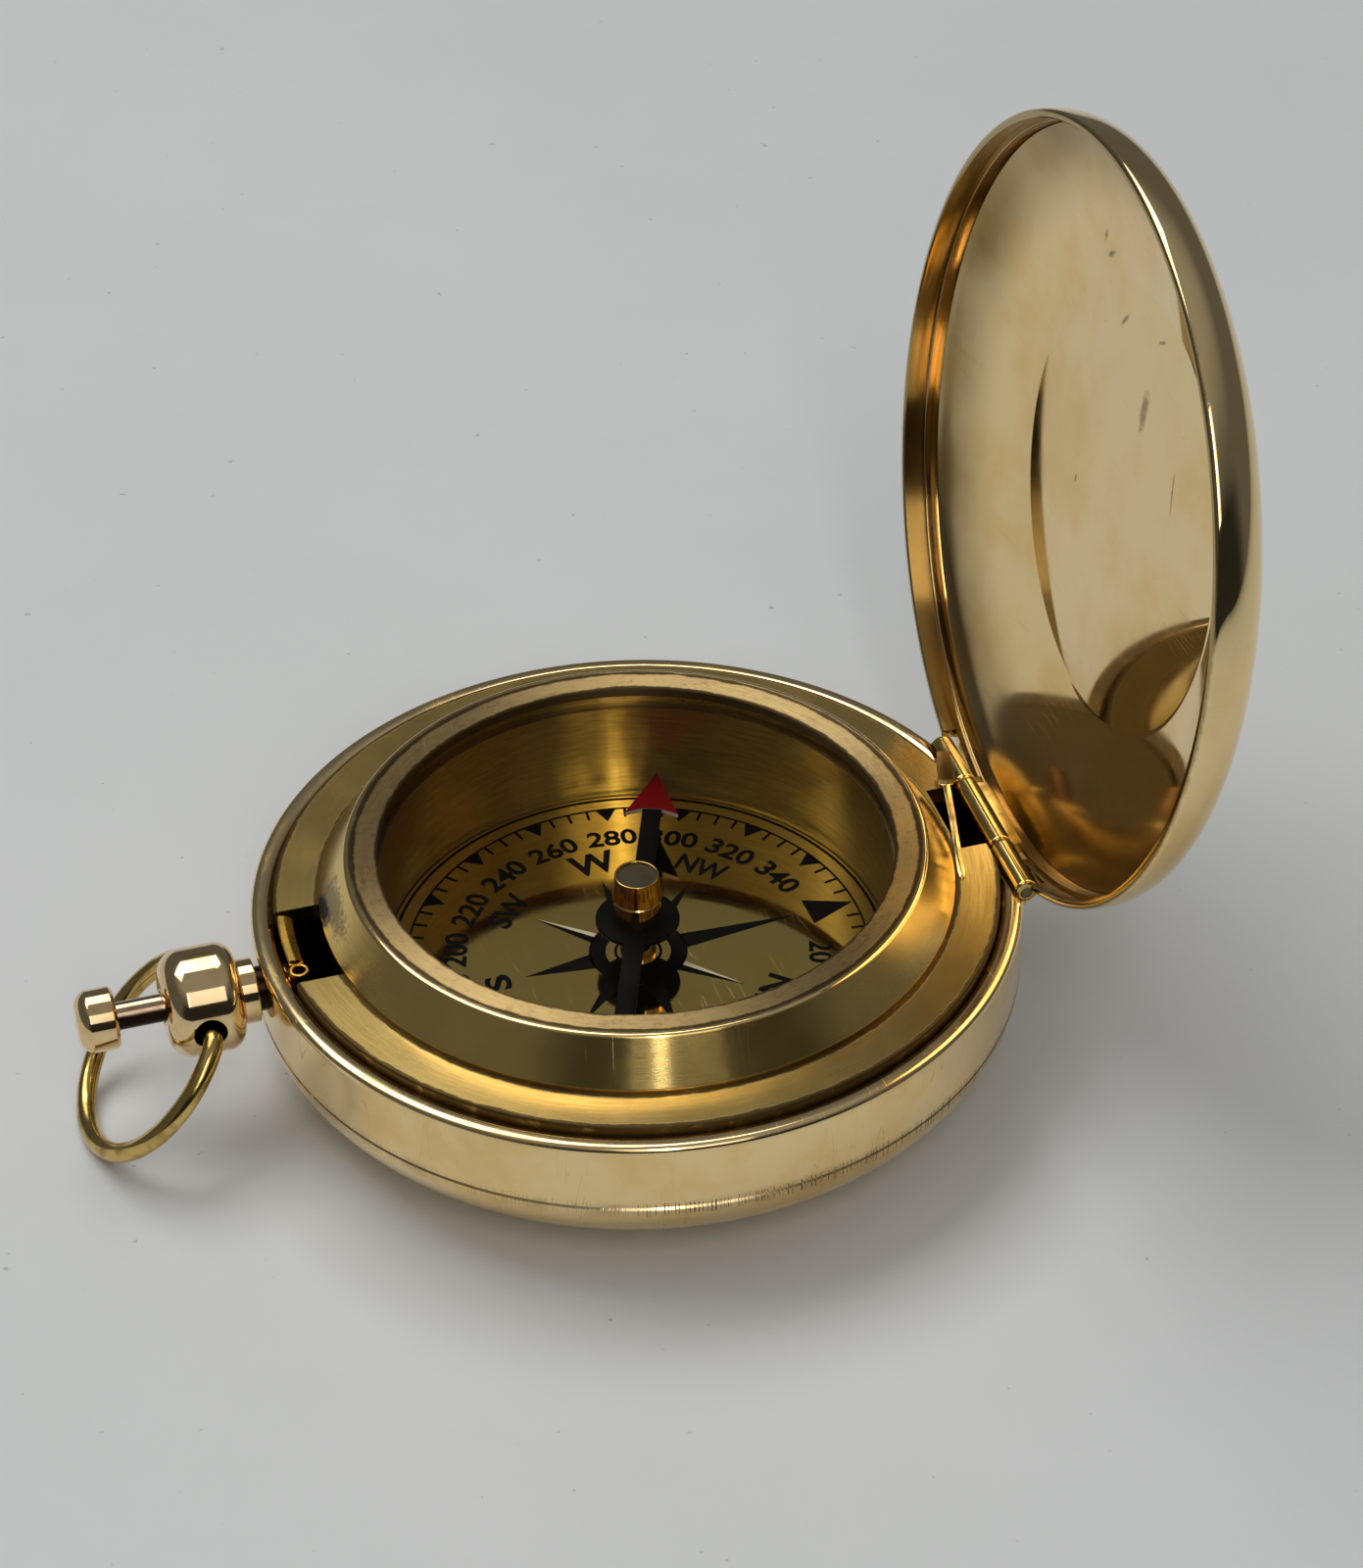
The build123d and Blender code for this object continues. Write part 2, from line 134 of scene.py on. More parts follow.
needle_reach, needle_tail, needle_half, hub_radius = 15.42, 13.62, 0.65, 2.75
arrow_length, arrow_half, arrow_notch = 4.0, 1.8, 0.5
cap_bore = 0.9
pivot_radius, bush_radius = 0.45, 1.2

segments = 256
fillet_steps = 6
smooth_angle, eased_angle = radians(35), radians(50)
weld = 0.0004 * mm
overrun = 3.0

lid_turn = (Matrix.Translation(hinge) @ Matrix.Rotation(radians(lid_open), 4, "Y")
            @ Matrix.Translation(-hinge))
needle_turn = Matrix.Translation((0, 0, needle_z)) @ Matrix.Rotation(radians(needle_bearing), 4, "Z")
pendant_turn = Matrix(((0, 0, -1, 0), (1, 0, 0, 0), (0, -1, 0, pendant_z), (0, 0, 0, 1)))
hinge_turn = Matrix.Translation(hinge) @ Matrix(((1, 0, 0, 0), (0, 0, 1, 0), (0, -1, 0, 0), (0, 0, 0, 1)))


# Shaping

def placed(name, data):
    """An object of the scene with its mesh, lettering, light or camera."""
    made = bpy.data.objects.new(name, data)
    bpy.context.scene.collection.objects.link(made)
    return made


def meshed(name, shape):
    """An object made from a shape, welded and faced outwards."""
    bmesh.ops.remove_doubles(shape, verts=shape.verts, dist=weld)
    bmesh.ops.recalc_face_normals(shape, faces=shape.faces)
    mesh = bpy.data.meshes.new(name)
    shape.to_mesh(mesh)
    shape.free()
    return placed(name, mesh)


def shaped(name, points, faces, turn=Matrix()):
    """A smooth mesh object from points in millimetres."""
    shape = bmesh.new()
    corners = [shape.verts.new((turn @ Vector(point)) * mm) for point in points]
    for face in faces:
        shape.faces.new([corners[index] for index in face])
    piece = meshed(name, shape)
    piece.data.shade_smooth()
    piece.data.set_sharp_from_angle(angle=smooth_angle)
    return piece


def skinned(rings, closed=False):
    """Points and faces of a skin over rings of points, closed round on itself or capped at both ends."""
    size, count = len(rings[0]), len(rings)
    faces = []
    for step in range(count if closed else count - 1):
        here, there = rings[step], rings[(step + 1) % count]
        low_start, high_start = step * size, (step + 1) % count * size
        for first in range(size):
            second = (first + 1) % size
            if here[first] != there[first] or here[second] != there[second]:
                faces.append((low_start + first, high_start + first, high_start + second, low_start + second))
    if not closed:
        faces += [tuple(range(size)), tuple(range((count - 1) * size, count * size))]
    return [point for ring in rings for point in ring], faces


def rounded(corners, closed=True):
    """An outline with its corners (x, y, round) rounded, and a point beside each round to keep flats flat."""
    outline = []
    count = len(corners)
    for index, (x, y, *fillet) in enumerate(corners):
        here = Vector((x, y))
        if not fillet or (not closed and index in (0, count - 1)):
            outline.append((x, y))
            continue
        before = (Vector(corners[index - 1][:2]) - here).normalized()
        after = (Vector(corners[(index + 1) % count][:2]) - here).normalized()
        half = before.angle(after) / 2
        reach = fillet[0] / tan(half)
        centre = here + (before + after).normalized() * fillet[0] / sin(half)
        start, end = here + before * reach - centre, here + after * reach - centre
        sweep = start.angle(end)
        outline.append(tuple(here + before * reach * 1.25))
        for step in range(fillet_steps + 1):
            share = step / fillet_steps
            spread = start * sin((1 - share) * sweep) + end * sin(share * sweep)
            outline.append(tuple(centre + spread / sin(sweep)))
        outline.append(tuple(here + after * reach * 1.25))
    return outline


def bar(radius, start, end, ease, bore=0):
    """The outline of a round bar or a tube with eased ends."""
    return rounded([(bore, start), (radius, start, ease), (radius, end, ease), (bore, end)])


def oval(centre, across, up, start, end, steps=48):
    """Points on an elliptical arc, from one angle to another in degrees."""
    turns = [radians(start + (end - start) * step / steps) for step in range(steps + 1)]
    return [(centre[0] + across * cos(turn), centre[1] + up * sin(turn)) for turn in turns]


def bulged(start, end, rise, steps=14):
    """Points on a circular arc that stands out from its chord to the right of the way it runs."""
    a, b = Vector(start), Vector(end)
    half = (b - a).length / 2
    radius = (half * half + rise * rise) / (2 * rise)
    along = (b - a).normalized()
    side = Vector((along.y, -along.x))
    centre = (a + b) / 2 - side * (radius - rise)
    spread = asin(half / radius)
    turns = [spread * (2 * step / steps - 1) for step in range(steps + 1)]
    return [tuple(centre + (along * sin(turn) + side * cos(turn)) * radius) for turn in turns]


def ring_at(outline, angle):
    """An outline of (radius, height) points at an angle round Z."""
    return [(radius * cos(angle), radius * sin(angle), height) for radius, height in outline]


def turned(name, outline, turn=Matrix(), count=segments):
    """A piece turned from a closed outline of (radius, height) points."""
    rings = [ring_at(outline, 2 * pi * step / count) for step in range(count)]
    return shaped(name, *skinned(rings, closed=True), turn)


def sector(outline, start, end, steps):
    """Points and faces of an outline turned part of the way round, with closed ends."""
    turns = [radians(start + (end - start) * step / steps) for step in range(steps + 1)]
    return skinned([ring_at(outline, turn) for turn in turns])


def plate(outline, base, top):
    """Points and faces of a flat outline raised from one height to another."""
    return skinned([[(x, y, z) for x, y in outline] for z in (base, top)])


def together(*parts):
    """Points and faces of several shapes as one list."""
    points, faces = [], []
    for more_points, more_faces in parts:
        start = len(points)
        points += more_points
        faces += [tuple(start + index for index in face) for face in more_faces]
    return points, faces


def block(x0, x1, y0, y1, z0, z1):
    """A cutter between two corners."""
    return shaped("cutter", *plate([(x0, y0), (x1, y0), (x1, y1), (x0, y1)], z0, z1))


def drill(turn, radius, start, end):
    """A round cutter along the turned axis."""
    return turned("cutter", [(0, start), (radius, start), (radius, end), (0, end)], turn, 64)


def shown_mesh(piece):
    """A copy of a piece's mesh with its modifiers applied."""
    return bpy.data.meshes.new_from_object(piece.evaluated_get(bpy.context.evaluated_depsgraph_get()))


def plain_mesh(piece):
    """Applies a piece's modifiers to its mesh."""
    bpy.context.view_layer.update()
    mesh = shown_mesh(piece)
    piece.modifiers.clear()
    piece.data = mesh
    return piece


def cut(piece, *cutters):
    """Takes the cutters out of a piece."""
    for cutter in cutters:
        change = piece.modifiers.new("cut", "BOOLEAN")
        change.operation = "DIFFERENCE"
        change.solver = "EXACT"
        change.object = cutter
    plain_mesh(piece)
    for cutter in cutters:
        bpy.data.objects.remove(cutter)
    piece.data.set_sharp_from_angle(angle=smooth_angle)
    return piece


def eased(piece, width):
    """Rounds the sharp edges of a piece."""
    change = piece.modifiers.new("eased", "BEVEL")
    change.width = width * mm
    change.segments = 2
    change.limit_method = "ANGLE"
    change.angle_limit = smooth_angle
    plain_mesh(piece)
    piece.data.set_sharp_from_angle(angle=eased_angle)
    return piece


def swung(piece):
    """Swings a piece of the closed lid open about the hinge."""
    piece.data.transform(Matrix.Scale(mm, 4) @ lid_turn @ Matrix.Scale(1 / mm, 4))
    return piece


def fitted(piece, finish, body, slot, *nodes):
    """Gives a finished piece its material and its body, and hides the nodes that it stands for; the slot is
    not used.
    """
    piece.data.materials.clear()
    piece.data.materials.append(finish)
    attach(piece, body)
    if nodes:
        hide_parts(*nodes)
    return piece


# Shader tools

def wire(value, socket):
    """Links a socket, or sets its value."""
    if isinstance(value, bpy.types.NodeSocket):
        socket.id_data.links.new(value, socket)
    else:
        socket.default_value = value


def fill(sockets, given):
    """Wires values into sockets by name, where _ stands for a space."""
    for name, value in given.items():
        wire(value, sockets[name.replace("_", " ")])


def tree_of(*values):
    """The tree of the first socket among some values."""
    return next(value.id_data for value in values if isinstance(value, bpy.types.NodeSocket))


def node(kind, settings=None, tree=None, **given):
    """Adds a node with its settings and its named inputs, to the inputs' own tree where none is named."""
    made = (tree or tree_of(*given.values())).nodes.new(kind)
    for name, value in (settings or {}).items():
        setattr(made, name, value)
    fill(made.inputs, given)
    return made


def maths(operation, *values):
    """One step of arithmetic on sockets and numbers."""
    made = tree_of(*values).nodes.new("ShaderNodeMath")
    made.operation = operation
    for socket, value in zip(made.inputs, values):
        wire(value, socket)
    return made.outputs[0]


times, plus, minus, most = (partial(maths, kind) for kind in ("MULTIPLY", "ADD", "SUBTRACT", "MAXIMUM"))


def ranged(value, start, end, floor=0.0, ceiling=1.0):
    """A smooth step from floor to ceiling as a value goes from start to end."""
    made = node("ShaderNodeMapRange", {"interpolation_type": "SMOOTHSTEP"}, Value=value, From_Min=start,
                From_Max=end, To_Min=floor, To_Max=ceiling)
    return made.outputs["Result"]


def scaled(value, floor, ceiling):
    """A value from 0 to 1 spread between two limits."""
    return node("ShaderNodeMapRange", Value=value, To_Min=floor, To_Max=ceiling).outputs["Result"]


def mixed(share, first, second):
    """Two colours mixed by a share."""
    made = tree_of(share).nodes.new("ShaderNodeMix")
    made.data_type = "RGBA"
    for index, value in ((0, share), (6, first), (7, second)):
        wire(value, made.inputs[index])
    return made.outputs[2]


def noise(place, scale, detail=2.0, roughness=0.5):
    """Even cloudy noise from 0 to 1."""
    made = node("ShaderNodeTexNoise", Vector=place, Scale=scale, Detail=detail, Roughness=roughness)
    return made.outputs["Fac"]


def stretched(place, turn, stretch):
    """A place turned and stretched, for marks that run one way."""
    return node("ShaderNodeMapping", Vector=place, Rotation=turn, Scale=stretch).outputs["Vector"]


def apart(place):
    """The three parts of a place."""
    return node("ShaderNodeSeparateXYZ", Vector=place).outputs


def point_at(**parts):
    """A place from its parts, where those left out are 0."""
    return node("ShaderNodeCombineXYZ", **parts).outputs[0]


def radius_of(first, second):
    """The length of two parts of a place."""
    return maths("SQRT", plus(times(first, first), times(second, second)))


def shader_group(name, outputs, **numbers):
    """A shader group that takes a place and some numbers, with its input sockets and its output sockets."""
    made = bpy.data.node_groups.new(name, "ShaderNodeTree")
    made.interface.new_socket("Place", in_out="INPUT", socket_type="NodeSocketVector")
    for label, value in numbers.items():
        label = label.replace("_", " ")
        socket = made.interface.new_socket(label, in_out="INPUT", socket_type="NodeSocketFloat")
        socket.default_value = value
    for label in outputs:
        made.interface.new_socket(label, in_out="OUTPUT", socket_type="NodeSocketFloat")
    return made, made.nodes.new("NodeGroupInput").outputs, made.nodes.new("NodeGroupOutput").inputs


def make_handling_marks():
    """Fingered smudges, fine scratches both ways and the height that they leave."""
    tree, given, out = shader_group("handling_marks", ["Smudge", "Scratch", "Height"], Smudge_Scale=160.0,
                                    Scratch_Scale=60.0, Scratch_Width=0.003)
    cloudy = noise(given["Place"], given["Smudge Scale"], 4.0, 0.6)
    wire(ranged(cloudy, 0.42, 0.68), out["Smudge"])
    lines = 0.0
    for turn, shift in ((0.4, 0.0), (-0.9, 7.0), (1.3, 19.0)):
        way = stretched(given["Place"], (turn, 0.7 * turn, turn), (14.0, 1.0, 1.0))
        hair = noise(way, given["Scratch Scale"], 1.0)
        off = maths("ABSOLUTE", minus(hair, 0.5))
        thin = maths("LESS_THAN", off, given["Scratch Width"])
        spot = node("ShaderNodeVectorMath", {"operation": "ADD"}, Vector=given["Place"])
        spot.inputs[1].default_value = (shift, shift, shift)
        patch = ranged(noise(spot.outputs[0], 220.0, 1.0), 0.54, 0.62)
        lines = most(times(thin, patch), lines)
    wire(lines, out["Scratch"])
    ripple = noise(given["Place"], 420.0, 2.0)
    wire(minus(times(ripple, 0.6), lines), out["Height"])
    return tree


def make_turned_lines():
    """Fine lines left by the lathe, round the Z axis of the place that is given."""
    tree, given, out = shader_group("turned_lines", ["Line", "Fine Line"], Lines=9000.0, Breaks=3.0)
    x, y, z = apart(given["Place"])
    radius = times(radius_of(x, y), given["Lines"])
    height = times(z, given["Lines"])
    angle = times(maths("ABSOLUTE", maths("ARCTAN2", y, x)), given["Breaks"])
    groove = point_at(X=radius, Y=height, Z=angle)
    wire(noise(groove, 1.0, 3.0, 0.65), out["Line"])
    wire(noise(groove, 3.1, 2.0, 0.6), out["Fine Line"])
    return tree


def make_tarnish():
    """Darkening within a width of one level, with a comb of short nicks, thickest on one side."""
    tree, given, out = shader_group("tarnish", ["Film", "Nick"], Level=0.0, Width=0.0004, Nicks=60.0,
                                    Side=-1.0)
    x, y, z = apart(given["Place"])
    off = maths("DIVIDE", maths("ABSOLUTE", minus(z, given["Level"])), given["Width"])
    near = minus(1.0, maths("MINIMUM", off, 1.0))
    patches = noise(given["Place"], 300.0, 3.0)
    wire(times(near, ranged(patches, 0.4, 0.65)), out["Film"])
    angle = maths("ARCTAN2", y, x)
    comb = noise(point_at(X=times(angle, given["Nicks"])), 1.0, 1.0)
    facing = ranged(maths("COSINE", minus(angle, given["Side"])), 0.6, 0.85, 0.3, 1.0)
    reach = plus(near, minus(noise(given["Place"], 900.0), 0.6))
    nick = times(ranged(comb, 0.52, 0.60), ranged(reach, 0.25, 0.5))
    wire(times(nick, facing), out["Nick"])
    return tree


handling_marks = make_handling_marks()
turned_lines = make_turned_lines()
tarnish = make_tarnish()


def group(kind, **given):
    """The outputs of a shader group with its named inputs."""
    return node("ShaderNodeGroup", {"node_tree": kind}, **given).outputs


def new_material(name):
    """An empty material, its shader and the place on the piece."""
    finish = bpy.data.materials.new(name)
    finish.use_nodes = True
    tree = finish.node_tree
    tree.nodes.clear()
    shader = tree.nodes.new("ShaderNodeBsdfPrincipled")
    wire(shader.outputs["BSDF"], tree.nodes.new("ShaderNodeOutputMaterial").inputs["Surface"])
    return finish, shader, tree.nodes.new("ShaderNodeTexCoord").outputs["Object"]


def centred(place, centre, turn=(0, 0, 0), size=(1, 1, 1)):
    """The place seen from a centre, with its own axis and unit."""
    made = node("ShaderNodeMapping", {"vector_type": "TEXTURE"}, Vector=place, Location=centre, Rotation=turn,
                Scale=size)
    return made.outputs["Vector"]


def dressed(shader, colour, gloss, height=None, depth=0.0, strength=1.0, **settings):
    """Gives a shader its colour, its gloss, a bump with a depth in millimetres and any other settings."""
    fill(shader.inputs, {"Base Color": colour, "Roughness": gloss, **settings})
    if height is not None:
        bump = node("ShaderNodeBump", Strength=strength, Distance=depth * mm, Height=height)
        wire(bump.outputs["Normal"], shader.inputs["Normal"])


# Finishes

bright_brass = (0.92, 0.70, 0.36, 1)
warm_brass = (0.86, 0.60, 0.25, 1)
dull_brass = (0.62, 0.44, 0.20, 1)
satin_brass = (0.60, 0.42, 0.19, 1)
mottle_brown = (0.30, 0.19, 0.07, 1)
brown_film = (0.16, 0.09, 0.03, 1)
# Grey of a painted reflection on the bezel beside the lock
reflection_grey = (0.16, 0.14, 0.13, 1)
# Dark of dirt and painted shade in rings
ring_dirt_and_shade = (0.05, 0.03, 0.012, 1)
# Near-black core of the painted reflection beside the lock
reflection_dark = (0.012, 0.010, 0.022, 1)
lid_axis = lid_turn @ Vector((0, 0, lip_z)) * mm
lid_angles = (0, radians(lid_open), 0)
across_axis = (0, radians(-90), 0)


def smear(place, centre, turn, size, ragged=0.9):
    """A soft ragged mark about a point, with its turn in plan and its three half sizes in millimetres."""
    own = centred(place, [v * mm for v in centre], (0, 0, radians(turn)), [v * mm for v in size])
    away = node("ShaderNodeVectorMath", {"operation": "LENGTH"}, Vector=own).outputs["Value"]
    edge = times(minus(noise(place, 1400.0, 3.0, 0.7), 0.5), 2 * ragged)
    return ranged(plus(away, edge), 1.1, 0.5)


# The overlays below are real films, or painted shade where so named; each takes the place on the piece, and
# the place seen from the piece's own centre and axis.

def rim_film(place, own):
    """Brown film on the inner wall of the lid's band and along its free edge."""
    x, y, z = apart(own)
    inside = ranged(radius_of(x, y), (lid_inner + 0.12) * mm, (lid_inner + 0.02) * mm)
    inside = times(inside, scaled(noise(own, 240.0, 3.0), 0.75, 1.0))
    level = plus(z, times(noise(own, 1500.0, 3.0, 0.7), 0.3 * mm))
    edge = lid_low - lip_z
    return most(inside, ranged(level, (edge + 0.4) * mm, (edge + 0.2) * mm))


def hole_film(place, own):
    """Painted shade: darkens the bow's holes and the gap behind the collar, where shade falls."""
    x, _, z = apart(place)
    away = radius_of(minus(x, barrel_x * mm), minus(z, pendant_z * mm))
    hole = ranged(away, (bow_hole + 0.05) * mm, (bow_hole + 0.01) * mm)
    return most(hole, ranged(x, -(case_radius + 0.4) * mm, -(case_radius + 0.3) * mm))


def under_film(place, own):
    """Painted shade: darkens the underside of the push rod."""
    level = plus(apart(place)["Z"], times(noise(place, 900.0), 0.2 * mm))
    return ranged(level, (pendant_z + 0.8) * mm, (pendant_z + 0.45) * mm)


def head_film(place, own):
    """Brown film on the raised head of the lift spring."""
    return ranged(apart(place)["Z"], (plate_z + 0.25) * mm, (plate_z + 0.45) * mm)


# Marks on the lid's flat: x, y, turn in degrees, half length and half width
lid_marks = [(-15.2, 7.9, 20, 0.9, 0.22), (-14.2, 7.2, 50, 0.7, 0.2), (-11.2, 4.2, 35, 0.8, 0.18),
             (-12.6, -1.2, 60, 0.5, 0.15), (-7.4, -0.6, 0, 1.5, 0.55), (-5.0, -6.4, -12, 1.7, 0.13),
             (1.9, 6.6, 0, 0.35, 0.16)]
# Radii over which the painted shade on the lid's shoulder grows
shoulder_inner, shoulder_outer = 18.0, 23.5


def touch_film(place, own):
    """The few dull marks on the lid's flat, thinned by a fine grain, and a painted shade on its shoulder,
    darker towards the rim.
    """
    flat = lid_top + lid_dome - lid_sheet - lip_z
    marks = 0.0
    for x, y, turn, length, width in lid_marks:
        marks = most(smear(own, (x, y, flat), turn, (length, width, 1.0), 0.7), marks)
    marks = times(marks, scaled(noise(own, 2200.0, 2.0), 0.35, 1.0))
    x, y, _ = apart(own)
    shoulder = ranged(radius_of(x, y), shoulder_inner * mm, shoulder_outer * mm, 0.0, 0.7)
    shoulder = times(shoulder, scaled(noise(own, 130.0, 3.0), 0.4, 1.4))
    normal = own.id_data.nodes.new("ShaderNodeTexCoord").outputs["Normal"]
    way = node("ShaderNodeVectorMath", {"operation": "DOT_PRODUCT"}, Vector=normal)
    way.inputs[1].default_value = lid_turn.to_3x3() @ Vector((0, 0, -1))
    return times(ranged(way.outputs["Value"], -0.05, 0.05), most(marks, shoulder))


def polished(name, bright=bright_brass, dull=warm_brass, smooth=0.05, rough=0.12, centre=None, turn=(0, 0, 0),
             line_depth=0.0, smudge=160.0, wear=0.3, nick_level=None, overlay=None, overlay_colour=brown_film,
             overlay_rough=0.2):
    """Polished metal with smudges, scratches, lathe lines, and nicks or an overlay where given: a real film,
    or painted shade.
    """
    finish, shader, place = new_material(name)
    own = place if centre is None else centred(place, centre, turn)
    marks = group(handling_marks, Place=own, Smudge_Scale=smudge)
    lathe = group(turned_lines, Place=own, Lines=5000.0)
    scratch = times(marks["Scratch"], wear)
    colour = mixed(scratch, mixed(marks["Smudge"], bright, dull), dull_brass)
    gloss = plus(scaled(marks["Smudge"], smooth, rough), times(scratch, 0.2))
    height = plus(times(marks["Height"], wear), times(lathe["Line"], line_depth))
    if nick_level is not None:
        worn = group(tarnish, Place=place, Level=nick_level * mm, Width=0.62 * mm, Nicks=190.0,
                     Side=radians(-62))
        dark = most(worn["Nick"], times(worn["Film"], 0.4))
        colour = mixed(times(dark, 0.95), colour, brown_film)
        gloss = plus(gloss, times(dark, 0.3))
        height = minus(height, times(worn["Nick"], 2.0))
    if overlay is not None:
        cover = overlay(place, own)
        colour = mixed(cover, colour, overlay_colour)
        gloss = plus(gloss, times(cover, overlay_rough))
    dressed(shader, colour, gloss, height, 0.002, Metallic=1.0)
    return finish


def off_ring(radius, ring):
    """How far a place's radius is from a ring's."""
    return maths("ABSOLUTE", minus(radius, ring * mm))


def worn_face(place, radius, grain, edge, colour, gloss):
    """A satin mottled face inside an edge, and the edge itself rubbed bright."""
    face = ranged(radius, (edge + 0.02) * mm, (edge - 0.12) * mm)
    colour = mixed(times(face, ranged(grain, 0.2, 0.6)), colour, satin_brass)
    mottle = times(face, ranged(noise(place, 1600.0, 4.0, 0.7), 0.5, 0.7))
    colour = mixed(times(mottle, 0.45), colour, mottle_brown)
    rubbed = ranged(off_ring(radius, edge), 0.28 * mm, 0.12 * mm)
    gloss = times(plus(gloss, times(face, 0.13)), scaled(rubbed, 1.0, 0.45))
    return mixed(times(rubbed, 0.6), colour, bright_brass), gloss


def dirty_ring(place, radius, ring, colour, gloss):
    """Dark grime round one ring, with painted shade where the ring lies in a crease."""
    away = plus(off_ring(radius, ring), times(noise(place, 700.0, 3.0, 0.7), 0.4 * mm))
    dirt_and_shade = ranged(away, 0.5 * mm, 0.3 * mm)
    return mixed(times(dirt_and_shade, 0.9), colour, ring_dirt_and_shade), plus(gloss, times(dirt_and_shade, 0.3))


def lock_stain(place, colour, gloss):
    """Painted reflection: a grey smear and a dark core on the bezel beside the lock."""
    overlay = smear(place, (-19.55, 1.4, 13.4), 0, (0.9, 3.4, 1.6))
    deep = smear(place, (-20.2, 2.2, 12.9), 0, (0.4, 1.9, 0.9), 0.5)
    colour = mixed(times(overlay, 0.55), colour, reflection_grey)
    return mixed(times(deep, 0.95), colour, reflection_dark), plus(gloss, times(overlay, 0.12))


def brushed(name, bright, dull, smooth, rough, lines=7000.0, depth=0.003, spread=0.7, edge=None, grooves=(),
            with_lock_reflection=False):
    """Brass brushed round its axis, which pulls each light into a streak across the lines."""
    finish, shader, place = new_material(name)
    marks = group(handling_marks, Place=place, Smudge_Scale=120.0)
    lathe = group(turned_lines, Place=place, Lines=lines, Breaks=6.0)
    grain = plus(times(lathe["Line"], 0.6), times(lathe["Fine Line"], 0.4))
    colour = mixed(ranged(grain, 0.35, 0.65), dull, bright)
    colour = mixed(times(marks["Smudge"], 0.3), colour, dull)
    gloss = plus(scaled(grain, rough, smooth), times(marks["Smudge"], 0.05))
    x, y, _ = apart(place)
    radius = radius_of(x, y)
    if edge is not None:
        colour, gloss = worn_face(place, radius, grain, edge, colour, gloss)
    # Rings of dirt and painted shade
    for ring in grooves:
        colour, gloss = dirty_ring(place, radius, ring, colour, gloss)
    # A painted reflection on the bezel beside the lock
    if with_lock_reflection:
        colour, gloss = lock_stain(place, colour, gloss)
    tangent = node("ShaderNodeTangent", {"direction_type": "RADIAL", "axis": "Z"}, shader.id_data)
    dressed(shader, colour, gloss, plus(grain, times(marks["Height"], 0.2)), depth, Metallic=1.0,
            Anisotropic=spread, Anisotropic_Rotation=0.25, Tangent=tangent.outputs["Tangent"])
    return finish


def painted(name, colour, worn, smooth, rough, grain=900.0, shine=0.2):
    """Enamel or ink with a fine uneven skin."""
    finish, shader, place = new_material(name)
    skin = noise(place, grain, 4.0, 0.6)
    patches = ranged(noise(place, grain / 4, 3.0), 0.4, 0.7)
    dressed(shader, mixed(patches, colour, worn), scaled(skin, smooth, rough), skin, 0.004,
            Specular_IOR_Level=shine)
    return finish


def make_crystal_glass():
    """Clear flat glass: its gloss grows towards a glancing view, and the rest is clear."""
    finish, shader, place = new_material("crystal_glass")
    tree = shader.id_data
    clear = node("ShaderNodeBsdfTransparent", None, tree, Color=(0.985, 0.985, 0.975, 1))
    sheen = node("ShaderNodeFresnel", None, tree, IOR=1.15)
    inside = tree.nodes.new("ShaderNodeNewGeometry").outputs["Backfacing"]
    blend = node("ShaderNodeMixShader", Fac=times(sheen.outputs["Fac"], minus(1.0, inside)))
    wire(clear.outputs["BSDF"], blend.inputs[1])
    wire(shader.outputs["BSDF"], blend.inputs[2])
    wire(blend.outputs["Shader"], tree.nodes["Material Output"].inputs["Surface"])
    dust = noise(place, 1500.0, 3.0, 0.7)
    colour = mixed(ranged(dust, 0.6, 0.75), (0.9, 0.9, 0.9, 1), (0.6, 0.6, 0.58, 1))
    dressed(shader, colour, scaled(dust, 0.02, 0.07), Metallic=1.0)
    return finish


case_finish = polished("case_brass", smooth=0.08, rough=0.18, line_depth=0.3, wear=0.6,
                       nick_level=seam_z - 0.3)
band_finish = polished("band_brass", smooth=0.10, rough=0.2, line_depth=0.3, wear=0.6,
                       nick_level=seam_z + 0.1)
# The lid's brown overlay holds its dull marks and a painted shade on its shoulder.
lid_finish = polished("lid_brass", smooth=0.025, rough=0.07, centre=lid_axis, turn=lid_angles, smudge=110.0,
                      wear=0.15, overlay=touch_film, overlay_colour=(0.17, 0.105, 0.03, 1))
rim_finish = polished("lid_rim_brass", smooth=0.04, rough=0.10, centre=lid_axis, turn=lid_angles,
                      smudge=110.0, wear=0.2, overlay=rim_film, overlay_colour=(0.46, 0.34, 0.15, 1),
                      overlay_rough=0.10)
# The pendant's near-black overlay is painted shade in the bow's holes and behind the collar.
pendant_finish = polished("pendant_brass", (0.88, 0.65, 0.35, 1), (0.78, 0.54, 0.25, 1), 0.06, 0.11,
                          (0, 0, pendant_z * mm), across_axis, line_depth=0.2, smudge=500.0, wear=0.15,
                          overlay=hole_film, overlay_colour=(0.02, 0.012, 0.006, 1))
aged_finish = polished("aged_brass", (0.70, 0.50, 0.16, 1), (0.40, 0.26, 0.07, 1), 0.10, 0.24, smudge=600.0)
tongue_finish = polished("tongue_brass", (0.86, 0.54, 0.12, 1), (0.62, 0.34, 0.05, 1), 0.16, 0.3,
                         smudge=500.0)
spring_finish = polished("spring_brass", (0.80, 0.56, 0.20, 1), (0.50, 0.32, 0.10, 1), 0.12, 0.28,
                         smudge=700.0, overlay=head_film, overlay_colour=(0.14, 0.07, 0.02, 1))
